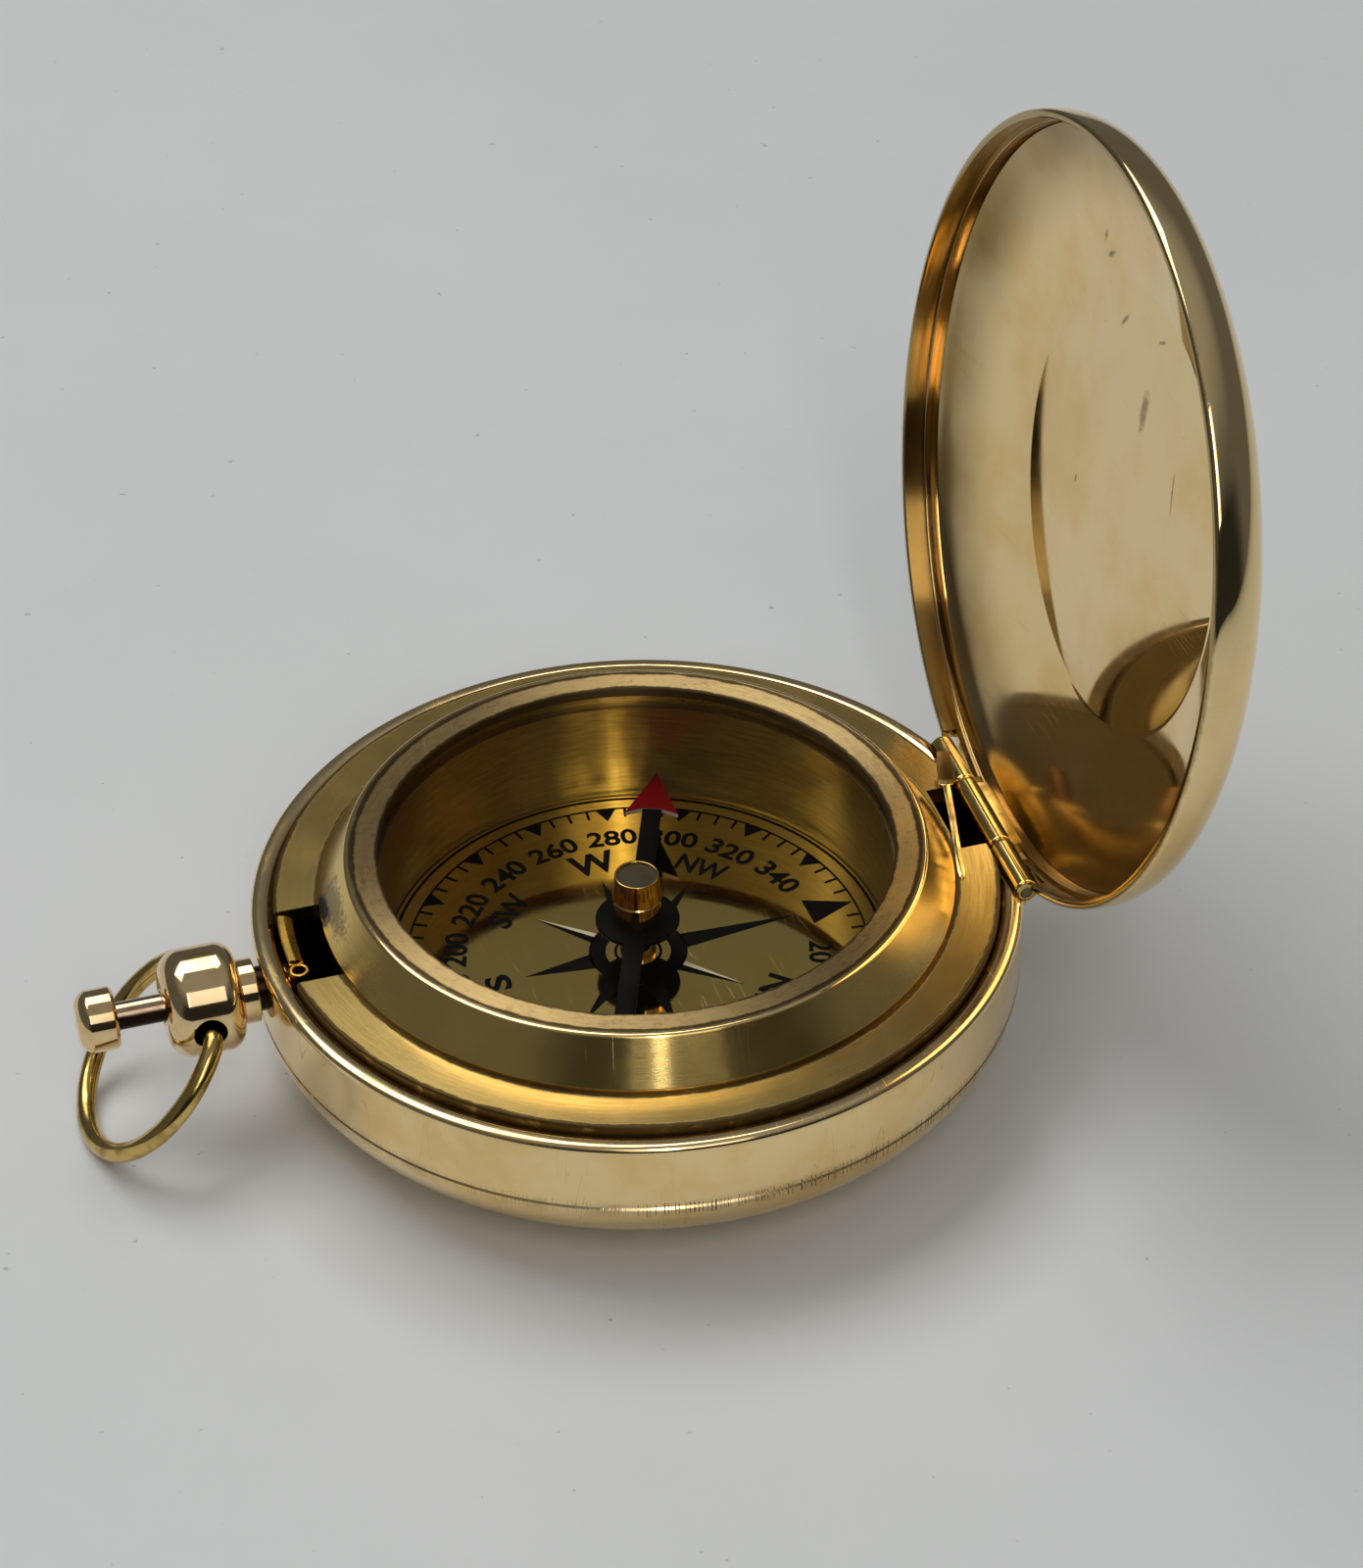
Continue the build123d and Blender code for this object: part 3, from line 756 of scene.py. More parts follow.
# The bezel carries dark rings of dirt and painted shade, and a painted reflection beside the lock.
bezel_finish = brushed("bezel_brass", (0.90, 0.65, 0.24, 1), (0.78, 0.54, 0.16, 1), 0.10, 0.19, spread=0.88,
                       edge=bezel_shoulder - 0.18, grooves=(bowl_radius + 0.02, bezel_shoulder - 0.42),
                       with_lock_reflection=True)
# The plate's dark rings are dirt and painted shade, at the bezel's foot and under the lip.
plate_finish = brushed("plate_brass", (0.64, 0.46, 0.16, 1), (0.50, 0.34, 0.10, 1), 0.15, 0.25, depth=0.0012,
                       spread=0.4, grooves=(bezel_base + 0.12, band_inner - 0.1))
bowl_finish = brushed("bowl_brass", (0.53, 0.41, 0.18, 1), (0.38, 0.28, 0.10, 1), 0.25, 0.36, lines=5000.0)
dial_finish = polished("dial_brass", (0.90, 0.66, 0.20, 1), (0.82, 0.58, 0.15, 1), 0.05, 0.11, smudge=220.0)
cap_finish = polished("cap_brass", (0.80, 0.52, 0.16, 1), (0.62, 0.36, 0.09, 1), 0.06, 0.14, smudge=800.0,
                      line_depth=0.3)
# The rod's dark overlay is painted shade along its underside.
rod_finish = polished("rod_steel", (0.60, 0.44, 0.30, 1), (0.44, 0.29, 0.17, 1), 0.12, 0.2, smudge=900.0,
                      wear=0.2, overlay=under_film, overlay_colour=(0.025, 0.016, 0.008, 1))
pin_finish = polished("pin_steel", (0.20, 0.15, 0.09, 1), (0.12, 0.08, 0.05, 1), 0.3, 0.45, smudge=900.0)
black = (0.003, 0.002, 0.001, 1)
ink_finish = painted("dial_ink", black, (0.006, 0.004, 0.002, 1), 0.4, 0.6, shine=0.05)
pale_finish = painted("dial_pale", (0.78, 0.68, 0.46, 1), (0.66, 0.54, 0.32, 1), 0.3, 0.45)
needle_finish = painted("needle_black", black, (0.007, 0.005, 0.003, 1), 0.4, 0.6, shine=0.05)
arrow_finish = painted("arrow_red", (0.17, 0.001, 0.001, 1), (0.12, 0.001, 0.001, 1), 0.4, 0.6, shine=0.05)
edge_finish = painted("arrow_edge", (0.55, 0.42, 0.40, 1), (0.40, 0.24, 0.22, 1), 0.35, 0.5)
jewel_finish = painted("jewel_grey", (0.085, 0.065, 0.034, 1), (0.045, 0.035, 0.02, 1), 0.25, 0.4, 1500.0)
glass_finish = make_crystal_glass()


# Case

back_outline = oval((back_flat, seam_z), case_radius - back_flat, seam_z, -90, 0)
back_outline = [point for point in back_outline if point[1] < seam_z - seam_bevel]
back_outline += [(case_radius, seam_z - seam_bevel), (case_radius - seam_bevel, seam_z), (band_inner, seam_z),
                 (band_inner, spigot_top), (spigot_inner, spigot_top)]
inner_back = oval((back_flat, seam_z), case_radius - shell_wall - back_flat, seam_z - shell_wall, 0, -90)
back_outline += [point for point in inner_back if point[0] < spigot_inner]
back_outline += [(0, shell_wall), (0, 0)]
fitted(turned("case_back_shell", back_outline), case_finish, "case_body", "polished_brass", "case_back")

band_outline = rounded([(band_inner, seam_z), (case_radius - seam_bevel, seam_z),
                        (case_radius, seam_z + seam_bevel), (case_radius, lip_z, lip_round),
                        (band_inner, lip_z, lip_ease)])
band = turned("case_band_ring", band_outline)
cut(band,
    block(channel_x, case_radius + overrun, -channel_half, channel_half, channel_floor, lip_z + overrun),
    drill(pendant_turn, stem_radius, band_inner - overrun, case_radius + overrun))
fitted(band, band_finish, "case_body", "polished_brass", "case_band")

plate_outline = rounded([(plate_bore, plate_low), (band_inner, plate_low), (band_inner, plate_z, plate_round),
                         (plate_bore, plate_z)])
ledge = turned("ledge_plate", plate_outline)
windows = ((-case_radius, lock_window_edge, lock_window_half),
           (lift_window_edge, case_radius, lift_window_half), (channel_x, case_radius, channel_half))
cut(ledge, *[block(start, end, -half, half, plate_low - overrun, plate_z + overrun)
             for start, end, half in windows])
fitted(ledge, plate_finish, "case_body", "brushed_brass", "top_plate")

bezel_outline = rounded([(bowl_outer, plate_z), (bezel_base, plate_z),
                         (bezel_base, plate_z + bezel_foot, 0.12), (bezel_shoulder, bezel_top_z, 0.3),
                         (bowl_radius, bezel_top_z - bezel_dip, 0.14), (bowl_radius, crystal_high),
                         (bowl_outer, crystal_high)])
fitted(turned("bezel_ring", bezel_outline), bezel_finish, "case_body", "brushed_brass", "bezel")

crystal_outline = bar(crystal_radius, crystal_low, crystal_high, 0.1)
fitted(turned("crystal_disc", crystal_outline), glass_finish, "case_body", "crystal_glass", "crystal")

bowl_outline = rounded([(0, bowl_low), (bowl_outer, bowl_low, 0.4), (bowl_outer, crystal_low),
                        (bowl_radius, crystal_low), (bowl_radius, dial_low), (0, dial_low)])
fitted(turned("bowl_wall", bowl_outline), bowl_finish, "case_body", "dial_brass", "compass_bowl")


# Dial and its print

dial_outline = rounded([(pivot_radius, dial_low), (dial_radius, dial_low), (dial_radius, dial_z, 0.1),
                        (pivot_radius, dial_z)])
fitted(turned("dial_disc", dial_outline), dial_finish, "case_body", "dial_brass", "dial_plate")

north = 2.5
print_rise = 0.02
number_radius, letter_radius = 12.0, 9.6
tick_outer, mark_step = 15.2, radians(20)


def dial_turn(bearing):
    """The angle on the dial, from +X, of a bearing in degrees."""
    return radians(north - bearing)


def one_mark(tree, given):
    """The geometry of one mark: a flat shape with four corners, raised to its thickness."""

    def corner(end, side):
        across = times(given[end + " Half Width"], side)
        return point_at(X=given[end + " Radius"], Y=across)

    outline = node("GeometryNodeCurvePrimitiveQuadrilateral", {"mode": "POINTS"},
                   Point_1=corner("Inner", -1.0), Point_2=corner("Outer", -1.0), Point_3=corner("Outer", 1.0),
                   Point_4=corner("Inner", 1.0))
    face = node("GeometryNodeFillCurve", Curve=outline.outputs[0]).outputs[0]
    rise = point_at(tree=tree, Z=1.0)
    raised = node("GeometryNodeExtrudeMesh", Mesh=face, Offset=rise, Offset_Scale=given["Thickness"],
                  Individual=False)
    mark = tree.nodes.new("GeometryNodeJoinGeometry")
    wire(raised.outputs[0], mark.inputs[0])
    wire(face, mark.inputs[0])
    return mark.outputs[0]


def make_dial_marks():
    """Geometry tree: one flat mark with straight sides, repeated round the dial at an even step."""
    tree = bpy.data.node_groups.new("dial_marks", "GeometryNodeTree")
    floats = dict.fromkeys(("Start", "Step", "Inner Radius", "Outer Radius", "Inner Half Width",
                            "Outer Half Width", "Thickness", "Level"), "NodeSocketFloat")
    for label, kind in {"Count": "NodeSocketInt", **floats, "Material": "NodeSocketMaterial"}.items():
        tree.interface.new_socket(label, in_out="INPUT", socket_type=kind)
    tree.interface.new_socket("Geometry", in_out="OUTPUT", socket_type="NodeSocketGeometry")
    given = tree.nodes.new("NodeGroupInput").outputs
    out = tree.nodes.new("NodeGroupOutput").inputs
    places = node("GeometryNodePoints", Count=given["Count"]).outputs[0]
    index = tree.nodes.new("GeometryNodeInputIndex").outputs[0]
    turn = maths("MULTIPLY_ADD", index, given["Step"], given["Start"])
    spread = node("GeometryNodeInstanceOnPoints", Points=places, Instance=one_mark(tree, given),
                  Rotation=point_at(Z=turn)).outputs[0]
    whole = node("GeometryNodeRealizeInstances", Geometry=spread).outputs[0]
    lift = point_at(Z=times(given["Level"], mm))
    sized = node("GeometryNodeTransform", Geometry=whole, Translation=lift, Scale=(mm, mm, mm)).outputs[0]
    done = node("GeometryNodeSetMaterial", Geometry=sized, Material=given["Material"]).outputs[0]
    wire(done, out["Geometry"])
    return tree


dial_marks = make_dial_marks()


def marked(name, **sizes):
    """A row of inked marks on the dial, as a plain mesh."""
    row = placed(name, bpy.data.meshes.new(name))
    change = row.modifiers.new("dial_marks", "NODES")
    change.node_group = dial_marks
    values = {label.replace("_", " "): value for label, value in sizes.items()}
    values.update({"Thickness": print_rise, "Level": dial_z, "Material": ink_finish})
    for socket in dial_marks.interface.items_tree:
        if socket.in_out == "INPUT":
            change[socket.identifier] = values[socket.name]
    return plain_mesh(row)


def tick_row(first):
    return marked(f"ticks_{first}", Count=18, Start=dial_turn(first), Step=-mark_step, Inner_Radius=14.25,
                  Outer_Radius=tick_outer, Inner_Half_Width=0.09, Outer_Half_Width=0.1)


def joined(name, pieces):
    """Several pieces made into one."""
    shape = bmesh.new()
    for piece in pieces:
        shape.from_mesh(piece.data)
        bpy.data.objects.remove(piece)
    return meshed(name, shape)


def lettering(text, width, height, bearing, radius, weight=0.022):
    """Flat lettering on the dial, its top outwards, made to a width and a height."""
    line = bpy.data.curves.new("lettering", "FONT")
    line.body = text
    line.offset = weight
    line.extrude = 0.5
    line.resolution_u = 4
    letters = placed("lettering", line)
    mesh = shown_mesh(letters)
    bpy.data.objects.remove(letters)
    xs, ys = [v.co.x for v in mesh.vertices], [v.co.y for v in mesh.vertices]
    middle = Vector(((min(xs) + max(xs)) / 2, (min(ys) + max(ys)) / 2, -line.extrude))
    wide, tall = max(xs) - min(xs), max(ys) - min(ys)
    fit = Matrix.Diagonal((width * mm / wide, height * mm / tall, print_rise * mm, 1))
    turn = dial_turn(bearing)
    place = Matrix.Translation((radius * mm * cos(turn), radius * mm * sin(turn), dial_z * mm))
    mesh.transform(place @ Matrix.Rotation(turn - pi / 2, 4, "Z") @ fit @ Matrix.Translation(-middle))
    return placed("lettering", mesh)


def dial_ring(name, inner, outer):
    top = dial_z + print_rise
    return turned(name, [(inner, dial_z), (outer, dial_z), (outer, top), (inner, top)])


def dial_kite(bearing, tip, foot, left, right):
    """One leaf of the star, from its foot to its tip."""
    outline = [(foot, -right), (tip, 0), (foot, left)]
    turn = Matrix.Rotation(dial_turn(bearing), 4, "Z")
    return shaped("leaf", *plate(outline, dial_z, dial_z + print_rise), turn)


marks = [tick_row(first) for first in (5, 10, 15)]
marks.append(marked("darts", Count=17, Start=dial_turn(20), Step=-mark_step, Inner_Radius=13.9,
                    Outer_Radius=tick_outer, Inner_Half_Width=0.01, Outer_Half_Width=0.72))
marks.append(marked("north_dart", Count=1, Start=dial_turn(0), Step=0.0, Inner_Radius=11.9, Outer_Radius=15.0,
                    Inner_Half_Width=1.25, Outer_Half_Width=0.01))
for bearing in range(20, 360, 20):
    marks.append(lettering(str(bearing), 3.4 if bearing > 99 else 2.2, 1.6, bearing, number_radius))
for bearing, text, width, height in ((90, "E", 1.5, 1.7), (180, "S", 1.5, 1.7), (270, "W", 3.2, 2.2)):
    marks.append(lettering(text, width, height, bearing, letter_radius, 0.03))
for bearing, text in ((45, "NE"), (135, "SE"), (225, "SW"), (315, "NW")):
    marks.append(lettering(text, 3.5, 1.7, bearing, letter_radius))
marks += [dial_ring("number_ring", 15.12, 15.26), dial_ring("edge_ring", 16.1, 16.3),
          dial_ring("star_ring", 2.15, 3.25), dial_ring("eye_ring", 1.4, 1.58)]
star_foot, pale_foot, leaf_tip, north_tip = 3.1, 3.27, 7.7, 11.0
leaf_half, corner_half, pale_half = 0.72, 0.58, 0.38
for bearing in (0, 90, 180, 270):
    tip = north_tip if bearing == 0 else leaf_tip
    marks.append(dial_kite(bearing, tip, star_foot, leaf_half, leaf_half))
pale = []
for bearing in (135, 315):
    marks.append(dial_kite(bearing, leaf_tip, star_foot, corner_half, corner_half))
for bearing, left, right in ((45, 1, 0), (225, 0, 1)):
    pale.append(dial_kite(bearing, leaf_tip, pale_foot, left * pale_half, right * pale_half))
    marks.append(dial_kite(bearing, leaf_tip, star_foot, right * corner_half, left * corner_half))
fitted(joined("dial_print", marks), ink_finish, "case_body", "black_enamel")
fitted(joined("dial_pale_leaves", pale), pale_finish, "case_body", "dial_brass")


# Needle, cap and pivot

neck = needle_reach - arrow_length
barb = neck - arrow_notch
blade_height = blade_top - needle_z
hub_side = asin(needle_half / hub_radius)
circle = 40
arc = [hub_side + (pi - 2 * hub_side) * step / circle for step in range(circle + 1)]
arc = [(hub_radius * cos(turn), hub_radius * sin(turn)) for turn in arc]
tail_x = needle_half - needle_tail
blade = [(neck, needle_half), *arc, (tail_x, needle_half), (-needle_tail, 0), (tail_x, -needle_half)]
blade += [(-x, -y) for x, y in arc] + [(neck, -needle_half)]
needle_blade = shaped("needle_blade", *plate(blade, 0, blade_height), needle_turn)
eased(needle_blade, 0.05)
fitted(needle_blade, needle_finish, "needle_body", "black_enamel", "needle")
arrow = [(neck, -needle_half), (barb, -arrow_half), (needle_reach, 0), (barb, arrow_half),
         (neck, needle_half)]
needle_arrow = shaped("needle_arrow", *plate(arrow, 0, blade_height), needle_turn)
fitted(needle_arrow, arrow_finish, "needle_body", "red_enamel", "needle")
needle_arrow.data.materials.append(edge_finish)
needle_arrow.data.materials.append(needle_finish)
heading = Vector((cos(radians(needle_bearing)), sin(radians(needle_bearing)), 0))
for face in needle_arrow.data.polygons:
    if face.normal.dot(heading) < -0.2:
        face.material_index = 1
    if face.normal.z < -0.5:
        face.material_index = 2

groove_z = cap_top - 1.8
cap_outline = rounded([(cap_bore, blade_top), (cap_radius, blade_top, 0.08), (cap_radius, groove_z - 0.08),
                       (cap_radius - 0.08, groove_z), (cap_radius, groove_z + 0.08), (1.45, cap_top, 0.06),
                       (jewel_radius, cap_top, 0.05), (jewel_radius, jewel_low), (cap_bore, jewel_low)])
fitted(turned("cap_shell", cap_outline, count=128), cap_finish, "needle_body", "polished_brass", "needle_cap")
jewel_outline = [(0, jewel_low), (jewel_radius, jewel_low), (jewel_radius, jewel_high - 0.05),
                 (0.6, jewel_high - 0.02), (0, jewel_high)]
fitted(turned("cap_stone", jewel_outline, count=96), jewel_finish, "needle_body", "jewel_grey", "cap_jewel")

bush_top = high("pivot_bush").z
bush_outline = rounded([(pivot_radius, dial_z), (bush_radius, dial_z), (bush_radius, dial_z + 0.2, 0.08),
                        (bush_radius - 0.225, bush_top, 0.08), (pivot_radius, bush_top)])
bush = turned("pivot_collar", bush_outline, count=96)
fitted(bush, aged_finish, "case_body", "polished_brass", "pivot_bush")
pin_tip = high("pivot_pin").z
pin_outline = [(0, dial_low), (pivot_radius, dial_low), (pivot_radius, pin_tip - 1.6), (0.04, pin_tip - 0.02),
               (0, pin_tip)]
fitted(turned("pivot_needle", pin_outline, count=96), pin_finish, "case_body", "polished_steel", "pivot_pin")


# Lid

dome_top = lid_top + lid_dome


def lid_reach(z):
    """The lid's outer radius at a height: drawn in a little low down, one full curve above."""
    if z < lid_widest:
        return case_radius - rim_draw * ((lid_widest - z) / (lid_widest - lid_low)) ** 2
    up = (z - lid_widest) / (dome_top - lid_widest)
    return lid_flat + (case_radius - lid_flat) * (1 - up ** lid_fullness) ** (1 / lid_fullness)


def lid_side(start, end, steps):
    """Points up the lid's outside between two heights, closer together towards the top."""
    heights = [start + (end - start) * sin(pi / 2 * step / steps) for step in range(steps + 1)]
    return [(lid_reach(z), z) for z in heights]


rim_outline = [(lid_inner, lid_low + 0.1), (lid_inner + 0.1, lid_low), (lid_reach(lid_low) - 0.2, lid_low),
               (lid_reach(lid_low) - 0.06, lid_low + 0.06)]
rim_outline += lid_side(lid_low + 0.2, lid_top, 16) + [(lid_inner, lid_top)]
rim = turned("lid_band", rim_outline)
notch_margin = 1.2
notch_back, notch_end = hinge.x - notch_margin, case_radius + overrun
notch_half = lid_knuckle_half + notch_margin
cut(rim, block(notch_back, notch_end, -channel_half, channel_half, lid_low - overrun, lip_z + rim_notch),
    block(notch_back, notch_end, -notch_half, notch_half, lid_low - overrun, lip_z + lid_notch))
fitted(swung(rim), rim_finish, "lid_body", "polished_brass", "lid_rim")

inner_top = dome_top - lid_sheet
inner_fall = inner_top - lid_top
inner_dome = []
dome_steps = 72
for step in range(dome_steps + 1):
    out = sin(pi / 2 * step / dome_steps)
    fall = inner_fall * (crease_share * out + (1 - crease_share) * (1 - sqrt(1 - out * out)))
    inner_dome.append((lid_crease + (lid_inner - lid_crease) * out, inner_top - fall))
cover_outline = lid_side(lid_top, dome_top, dome_steps)
cover_outline += [(0, dome_top), (0, inner_top), (lid_crease - 0.15, inner_top)]
cover_outline += [point for point in inner_dome if point[0] < lid_step]
step_z = lid_top - 0.6
cover_outline += rounded([(lid_step, lid_top + 0.5), (lid_step, step_z, 0.1), (lid_inner, step_z),
                          (lid_inner, lid_top)], closed=False)
fitted(swung(turned("lid_dome", cover_outline)), lid_finish, "lid_body", "polished_brass", "lid_cover")


# Hinge

leaf_outer, leaf_sheet, foot_sheet, tube_bury = lid_inner - 0.05, 0.8, 0.6, 0.55
tube = turned("lid_tube", bar(knuckle_radius, -lid_knuckle_half, lid_knuckle_half, knuckle_ease,
                              pin_radius + 0.05), hinge_turn, 96)
leaf = swung(block(leaf_outer - leaf_sheet, leaf_outer, -lid_knuckle_half, lid_knuckle_half,
                   lip_z + tube_bury, lip_z + lid_notch))
fitted(joined("lid_knuckle_tube", [tube, leaf]), aged_finish, "lid_body", "aged_brass", "lid_knuckle")
inner_end = lid_knuckle_half + knuckle_gap
for name, start, end in (("far_knuckle_tube", inner_end, hinge_half),
                         ("near_knuckle_tube", -hinge_half, -inner_end)):
    tube = turned("tube", bar(knuckle_radius, start, end, knuckle_ease, pin_radius), hinge_turn, 96)
    foot = block(hinge.x - foot_sheet, hinge.x, start, end, channel_floor, hinge.z - tube_bury)
    fitted(joined(name, [tube, foot]), aged_finish, "case_body", "aged_brass", "case_knuckles")
pin = turned("hinge_wire", bar(pin_radius, -hinge_half, hinge_half, 0.1), hinge_turn, 64)
fitted(pin, pin_finish, "case_body", "polished_steel", "hinge_pin")

foot_reach = lift_window_half + 3.0
foot_y, foot_x = -foot_reach, sqrt(bezel_base ** 2 - foot_reach ** 2) + 0.5
head_x = channel_x - 0.5
lean = atan2(head_x - foot_x, lift_window_half - foot_y)
run = hypot(head_x - foot_x, lift_window_half - foot_y)
lift_turn = Matrix.Translation((foot_x, foot_y, plate_z)) @ Matrix.Rotation(-lean, 4, "Z")


def strip(stations):
    """A flat strip along Y through stations (y, z, half width, thickness)."""
    return skinned([[(-half, y, z), (half, y, z), (half, y, z + thick), (-half, y, z + thick)]
                    for y, z, half, thick in stations])


lift_stations = [(0, 0, 0.16, 0.12), (0.5, 0, 0.25, 0.22), (2.7, 0, 0.25, 0.25), (3.3, 0.02, 0.24, 0.23),
                 (5.6, 0.12, 0.22, 0.22), (5.8, 0.16, 0.24, 0.22), (run - 0.1, 0.0, 0.25, 0.25),
                 (run, 0, 0.5, 0.25), (run + 1.1, 0.55, 0.5, 0.25), (run + 2.2, 1.1, 0.46, 0.24)]
lift = shaped("lift_strip", *strip(lift_stations), lift_turn)
fitted(eased(lift, 0.04), spring_finish, "case_body", "spring_steel", "lift_spring")


# Lock spring

leaf_low, leaf_high = low("lock_spring").z, 10.67
tongue_top = high("lock_spring").z
root, tongue_start, tongue_end = 122.6, 171.9, 183.2
eye_inner, eye_top = lock_eye - lock_sheet, tongue_top - 0.4
leaf_section = [(lock_inner, leaf_low), (lock_outer, leaf_low), (lock_outer, leaf_high),
                (lock_inner, leaf_high)]
tongue_section = rounded([(lock_inner, leaf_low), (lock_outer, leaf_low), (lock_outer, eye_top),
                          (lock_lip, eye_top, 0.08), (lock_lip, tongue_top, 0.1),
                          (lock_outer, tongue_top, 0.2), (lock_inner, tongue_top - 0.34, 0.12)])
lock = shaped("lock_leaf", *together(sector(leaf_section, root, tongue_start, 48),
                                     sector(tongue_section, tongue_start, tongue_end, 20)))
eye_turn = radians(tongue_end) + (lock_eye - lock_sheet / 2) / lock_outer
eye_place = Matrix.Translation((lock_outer * cos(eye_turn), lock_outer * sin(eye_turn), 0))
eye_outline = rounded([(eye_inner, leaf_high), (lock_eye, leaf_high), (lock_eye, eye_top, 0.06),
                       (eye_inner, eye_top, 0.06)])
eye = turned("lock_eye", eye_outline, eye_place, 64)
fitted(joined("lock_tongue", [lock, eye]), tongue_finish, "lock_body", "polished_brass", "lock_spring")


# Pendant, rod, button and bow

middle = -barrel_x
hold = 0.05
bore, neck_end, mouth_end = rod_radius + 0.05, middle - barrel_half, middle + barrel_half
collar_end = neck_end - collar_length
outline = rounded([(bore, band_inner), (stem_radius, band_inner), (stem_radius, collar_end),
                   (collar_radius, collar_end, 0.1), (collar_radius, neck_end - 0.1, 0.05),
                   (collar_radius - 0.1, neck_end), (neck_radius, neck_end)], closed=False)
outline += bulged((neck_radius, neck_end), (barrel_radius, middle - land_half), 0.35)
outline += [(barrel_radius, middle - land_half + hold), (barrel_radius, middle + land_half - hold)]
outline += bulged((barrel_radius, middle + land_half), (barrel_end, mouth_end), 0.45)
outline += [(bore + 0.25, mouth_end), (bore, mouth_end - 0.3)]
barrel = turned("pendant_barrel", outline, pendant_turn)
hole_floor = bow_end - 0.35
bow_turn = Matrix.Translation((barrel_x, 0, pendant_z)) @ Matrix.Rotation(radians(-90), 4, "X")
cut(barrel, drill(bow_turn, bow_hole, hole_floor, barrel_radius + overrun),
    drill(bow_turn, bow_hole, -barrel_radius - overrun, -hole_floor))
fitted(barrel, pendant_finish, "case_body", "polished_brass", "pendant")

rod_start, rod_end = -rod_nose, -button_back
head_start, head_end = rod_start + 0.25, band_inner - 0.05
rod_outline = rounded([(0, rod_start), (rod_tip, rod_start, 0.08), (rod_tip, head_start),
                       (rod_head, head_start, 0.06), (rod_head, head_end, 0.06), (rod_radius, head_end),
                       (rod_radius, rod_end), (0, rod_end)])
rod = turned("push_rod_bar", rod_outline, pendant_turn, 128)
fitted(rod, rod_finish, "button_body", "polished_steel", "push_rod")

button_front = rod_end + 1.75
outline = rounded([(0, rod_end), (button_radius - 0.2, rod_end, 0.1), (button_radius, rod_end + 0.2, 0.1),
                   (button_radius, button_front - hold), (button_radius, button_front)], closed=False)
outline += bulged((button_radius, button_front), (button_nose, -button_tip), 0.128)
outline += [(0, -button_tip)]
button = turned("button_knob", outline, pendant_turn)
fitted(button, pendant_finish, "button_body", "polished_brass", "push_button")


def bow_route():
    """The bow's centreline in its own plane: across the barrel, and away from it."""
    lean = atan2(bow_centre - bow_bend, bow_straight)
    half = [(bow_end, 0), (bow_straight - 0.02, 0)]
    bend_steps, ring_steps = 16, 48
    for step in range(bend_steps + 1):
        turn = -pi / 2 + step / bend_steps * (pi / 2 - lean)
        half.append((bow_straight + bow_bend * cos(turn), bow_bend + bow_bend * sin(turn)))
    for step in range(1, ring_steps + 1):
        turn = -lean + (pi / 2 + lean) * step / ring_steps
        half.append((bow_radius * cos(turn), bow_centre + bow_radius * sin(turn)))
    return half + [(-across, away) for across, away in reversed(half[:-1])]


def wire_tube(route, radius, turn, sides=28):
    """A round wire along a flat route, with flat ends."""
    angles = [2 * pi * step / sides for step in range(sides)]
    rings = []
    for index, (across, away) in enumerate(route):
        before, after = route[max(index - 1, 0)], route[min(index + 1, len(route) - 1)]
        way = Vector((after[0] - before[0], after[1] - before[1], 0)).normalized()
        middle, side, up = Vector((across, away, 0)), Vector((-way.y, way.x, 0)), Vector((0, 0, 1))
        rings.append([middle + (side * cos(angle) + up * sin(angle)) * radius for angle in angles])
    return shaped("bow_wire", *skinned(rings), turn)


bow_plane = Matrix(((0, -1, 0, 0), (1, 0, 0, 0), (0, 0, 1, 0), (0, 0, 0, 1)))
bow_place = Matrix.Translation((barrel_x, 0, pendant_z)) @ Matrix.Rotation(-bow_hang, 4, "Y") @ bow_plane
fitted(wire_tube(bow_route(), bow_wire, bow_place), aged_finish, "bow_body", "aged_brass", "bow")

rivet = frame["nodes"]["lock_spring_rivet"].data.materials
rivet.clear()
rivet.append(aged_finish)


# Floor, light and camera

def make_floor_finish():
    """Pale board with a faint mottle and a few grey specks."""
    finish, shader, place = new_material("floor_board")
    cloud = ranged(noise(place, 14.0, 5.0, 0.6), 0.3, 0.7)
    colour = mixed(cloud, (0.80, 0.82, 0.81, 1), (0.84, 0.855, 0.85, 1))
    speck = ranged(noise(place, 900.0, 2.0), 0.735, 0.78)
    colour = mixed(times(speck, 0.45), colour, (0.25, 0.25, 0.24, 1))
    grain = noise(place, 500.0, 4.0, 0.6)
    dressed(shader, colour, scaled(grain, 0.5, 0.65), grain, 0.04, 0.7)
    return finish


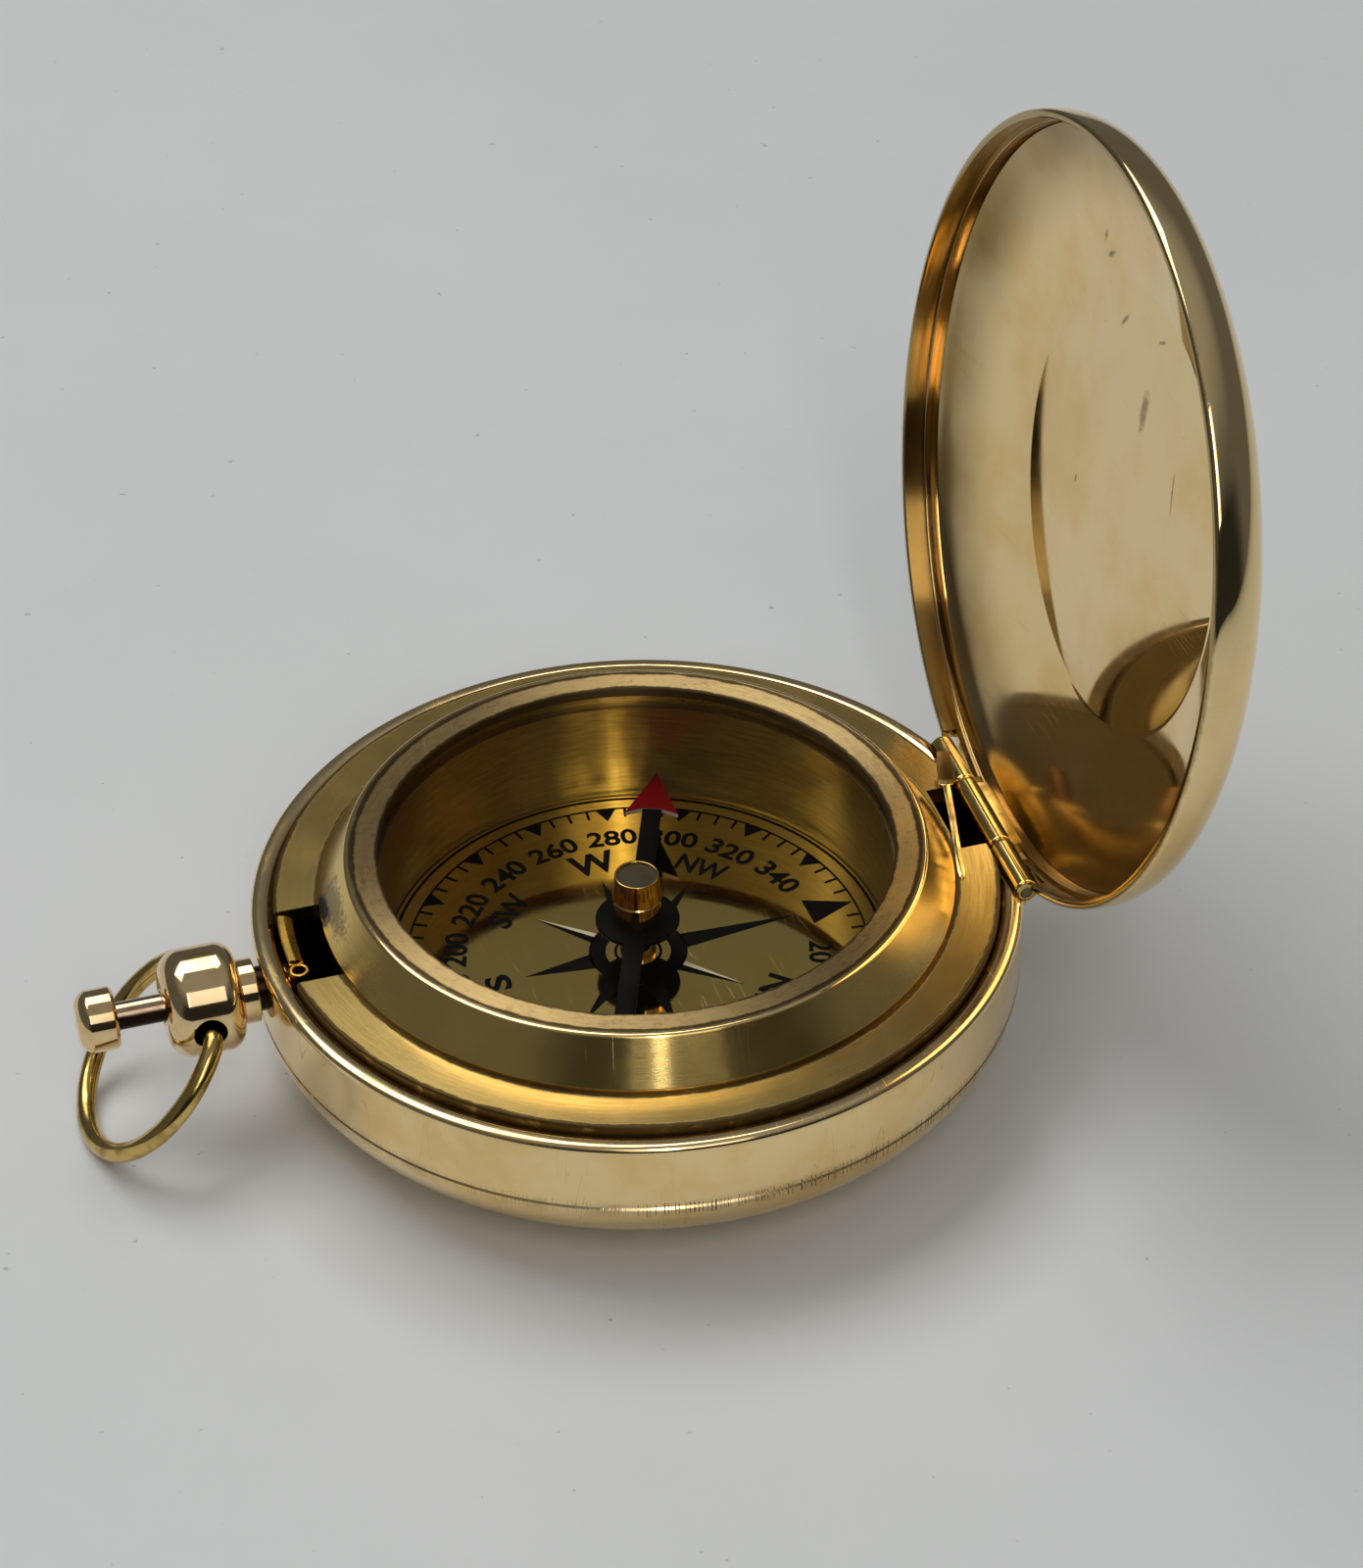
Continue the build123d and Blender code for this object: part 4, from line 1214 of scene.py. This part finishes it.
floor_half = 1500.0
corners = [(x * floor_half, y * floor_half, 0) for x, y in ((-1, -1), (1, -1), (1, 1), (-1, 1))]
floor = shaped("floor", corners, [(0, 1, 2, 3)])
if floor.data.polygons[0].normal.z < 0:
    floor.data.flip_normals()
floor.data.materials.append(make_floor_finish())


def lamp(name, toward, distance, width, height, radiance):
    """A soft panel that faces the compass from a direction."""
    light = bpy.data.lights.new(name, "AREA")
    light.shape = "RECTANGLE"
    light.size, light.size_y = width, height
    light.energy = pi * width * height * radiance
    stand = placed(name, light)
    way = Vector(toward).normalized()
    stand.location = way * distance
    stand.rotation_euler = way.to_track_quat("Z", "Y").to_euler()


lamp("back_panel", (-0.20, 0.40, 0.89), 0.9, 0.8, 0.5, 2.75)
lamp("front_panel", (-0.03, -0.70, 0.70), 0.9, 0.45, 0.48, 1.0)
lamp("front_core", (-0.10, -0.70, 0.70), 0.88, 0.06, 0.46, 7.5)

world = bpy.data.worlds.new("room")
bpy.context.scene.world = world
world.use_nodes = True
sky = world.node_tree
_, y, z = apart(sky.nodes.new("ShaderNodeTexCoord").outputs["Generated"])
shade = mixed(ranged(z, 0.55, 0.92), (0.10, 0.102, 0.105, 1), (0.27, 0.27, 0.27, 1))
dim = times(ranged(y, -0.5, -0.8), ranged(z, 0.6, 0.4))
shade = mixed(dim, shade, (0.02, 0.02, 0.02, 1))
wire(shade, sky.nodes["Background"].inputs["Color"])

view = bpy.data.cameras.new("eye")
view.lens, view.sensor_width = 90, 36
view.clip_start, view.clip_end = 0.01, 10
camera_place, camera_turn, camera_drop, camera_roll = (-51.853, -189.23, 173.095), -16.19, 37.98, -0.636
camera = placed("eye", view)
camera.matrix_world = (Matrix.Translation(Vector(camera_place) * mm)
                       @ Matrix.Rotation(radians(camera_turn), 4, "Z")
                       @ Matrix.Rotation(radians(90 - camera_drop), 4, "X")
                       @ Matrix.Rotation(radians(camera_roll), 4, "Z"))
bpy.context.scene.camera = camera
bpy.context.scene.view_settings.view_transform = "Standard"

bpy.context.view_layer.update()
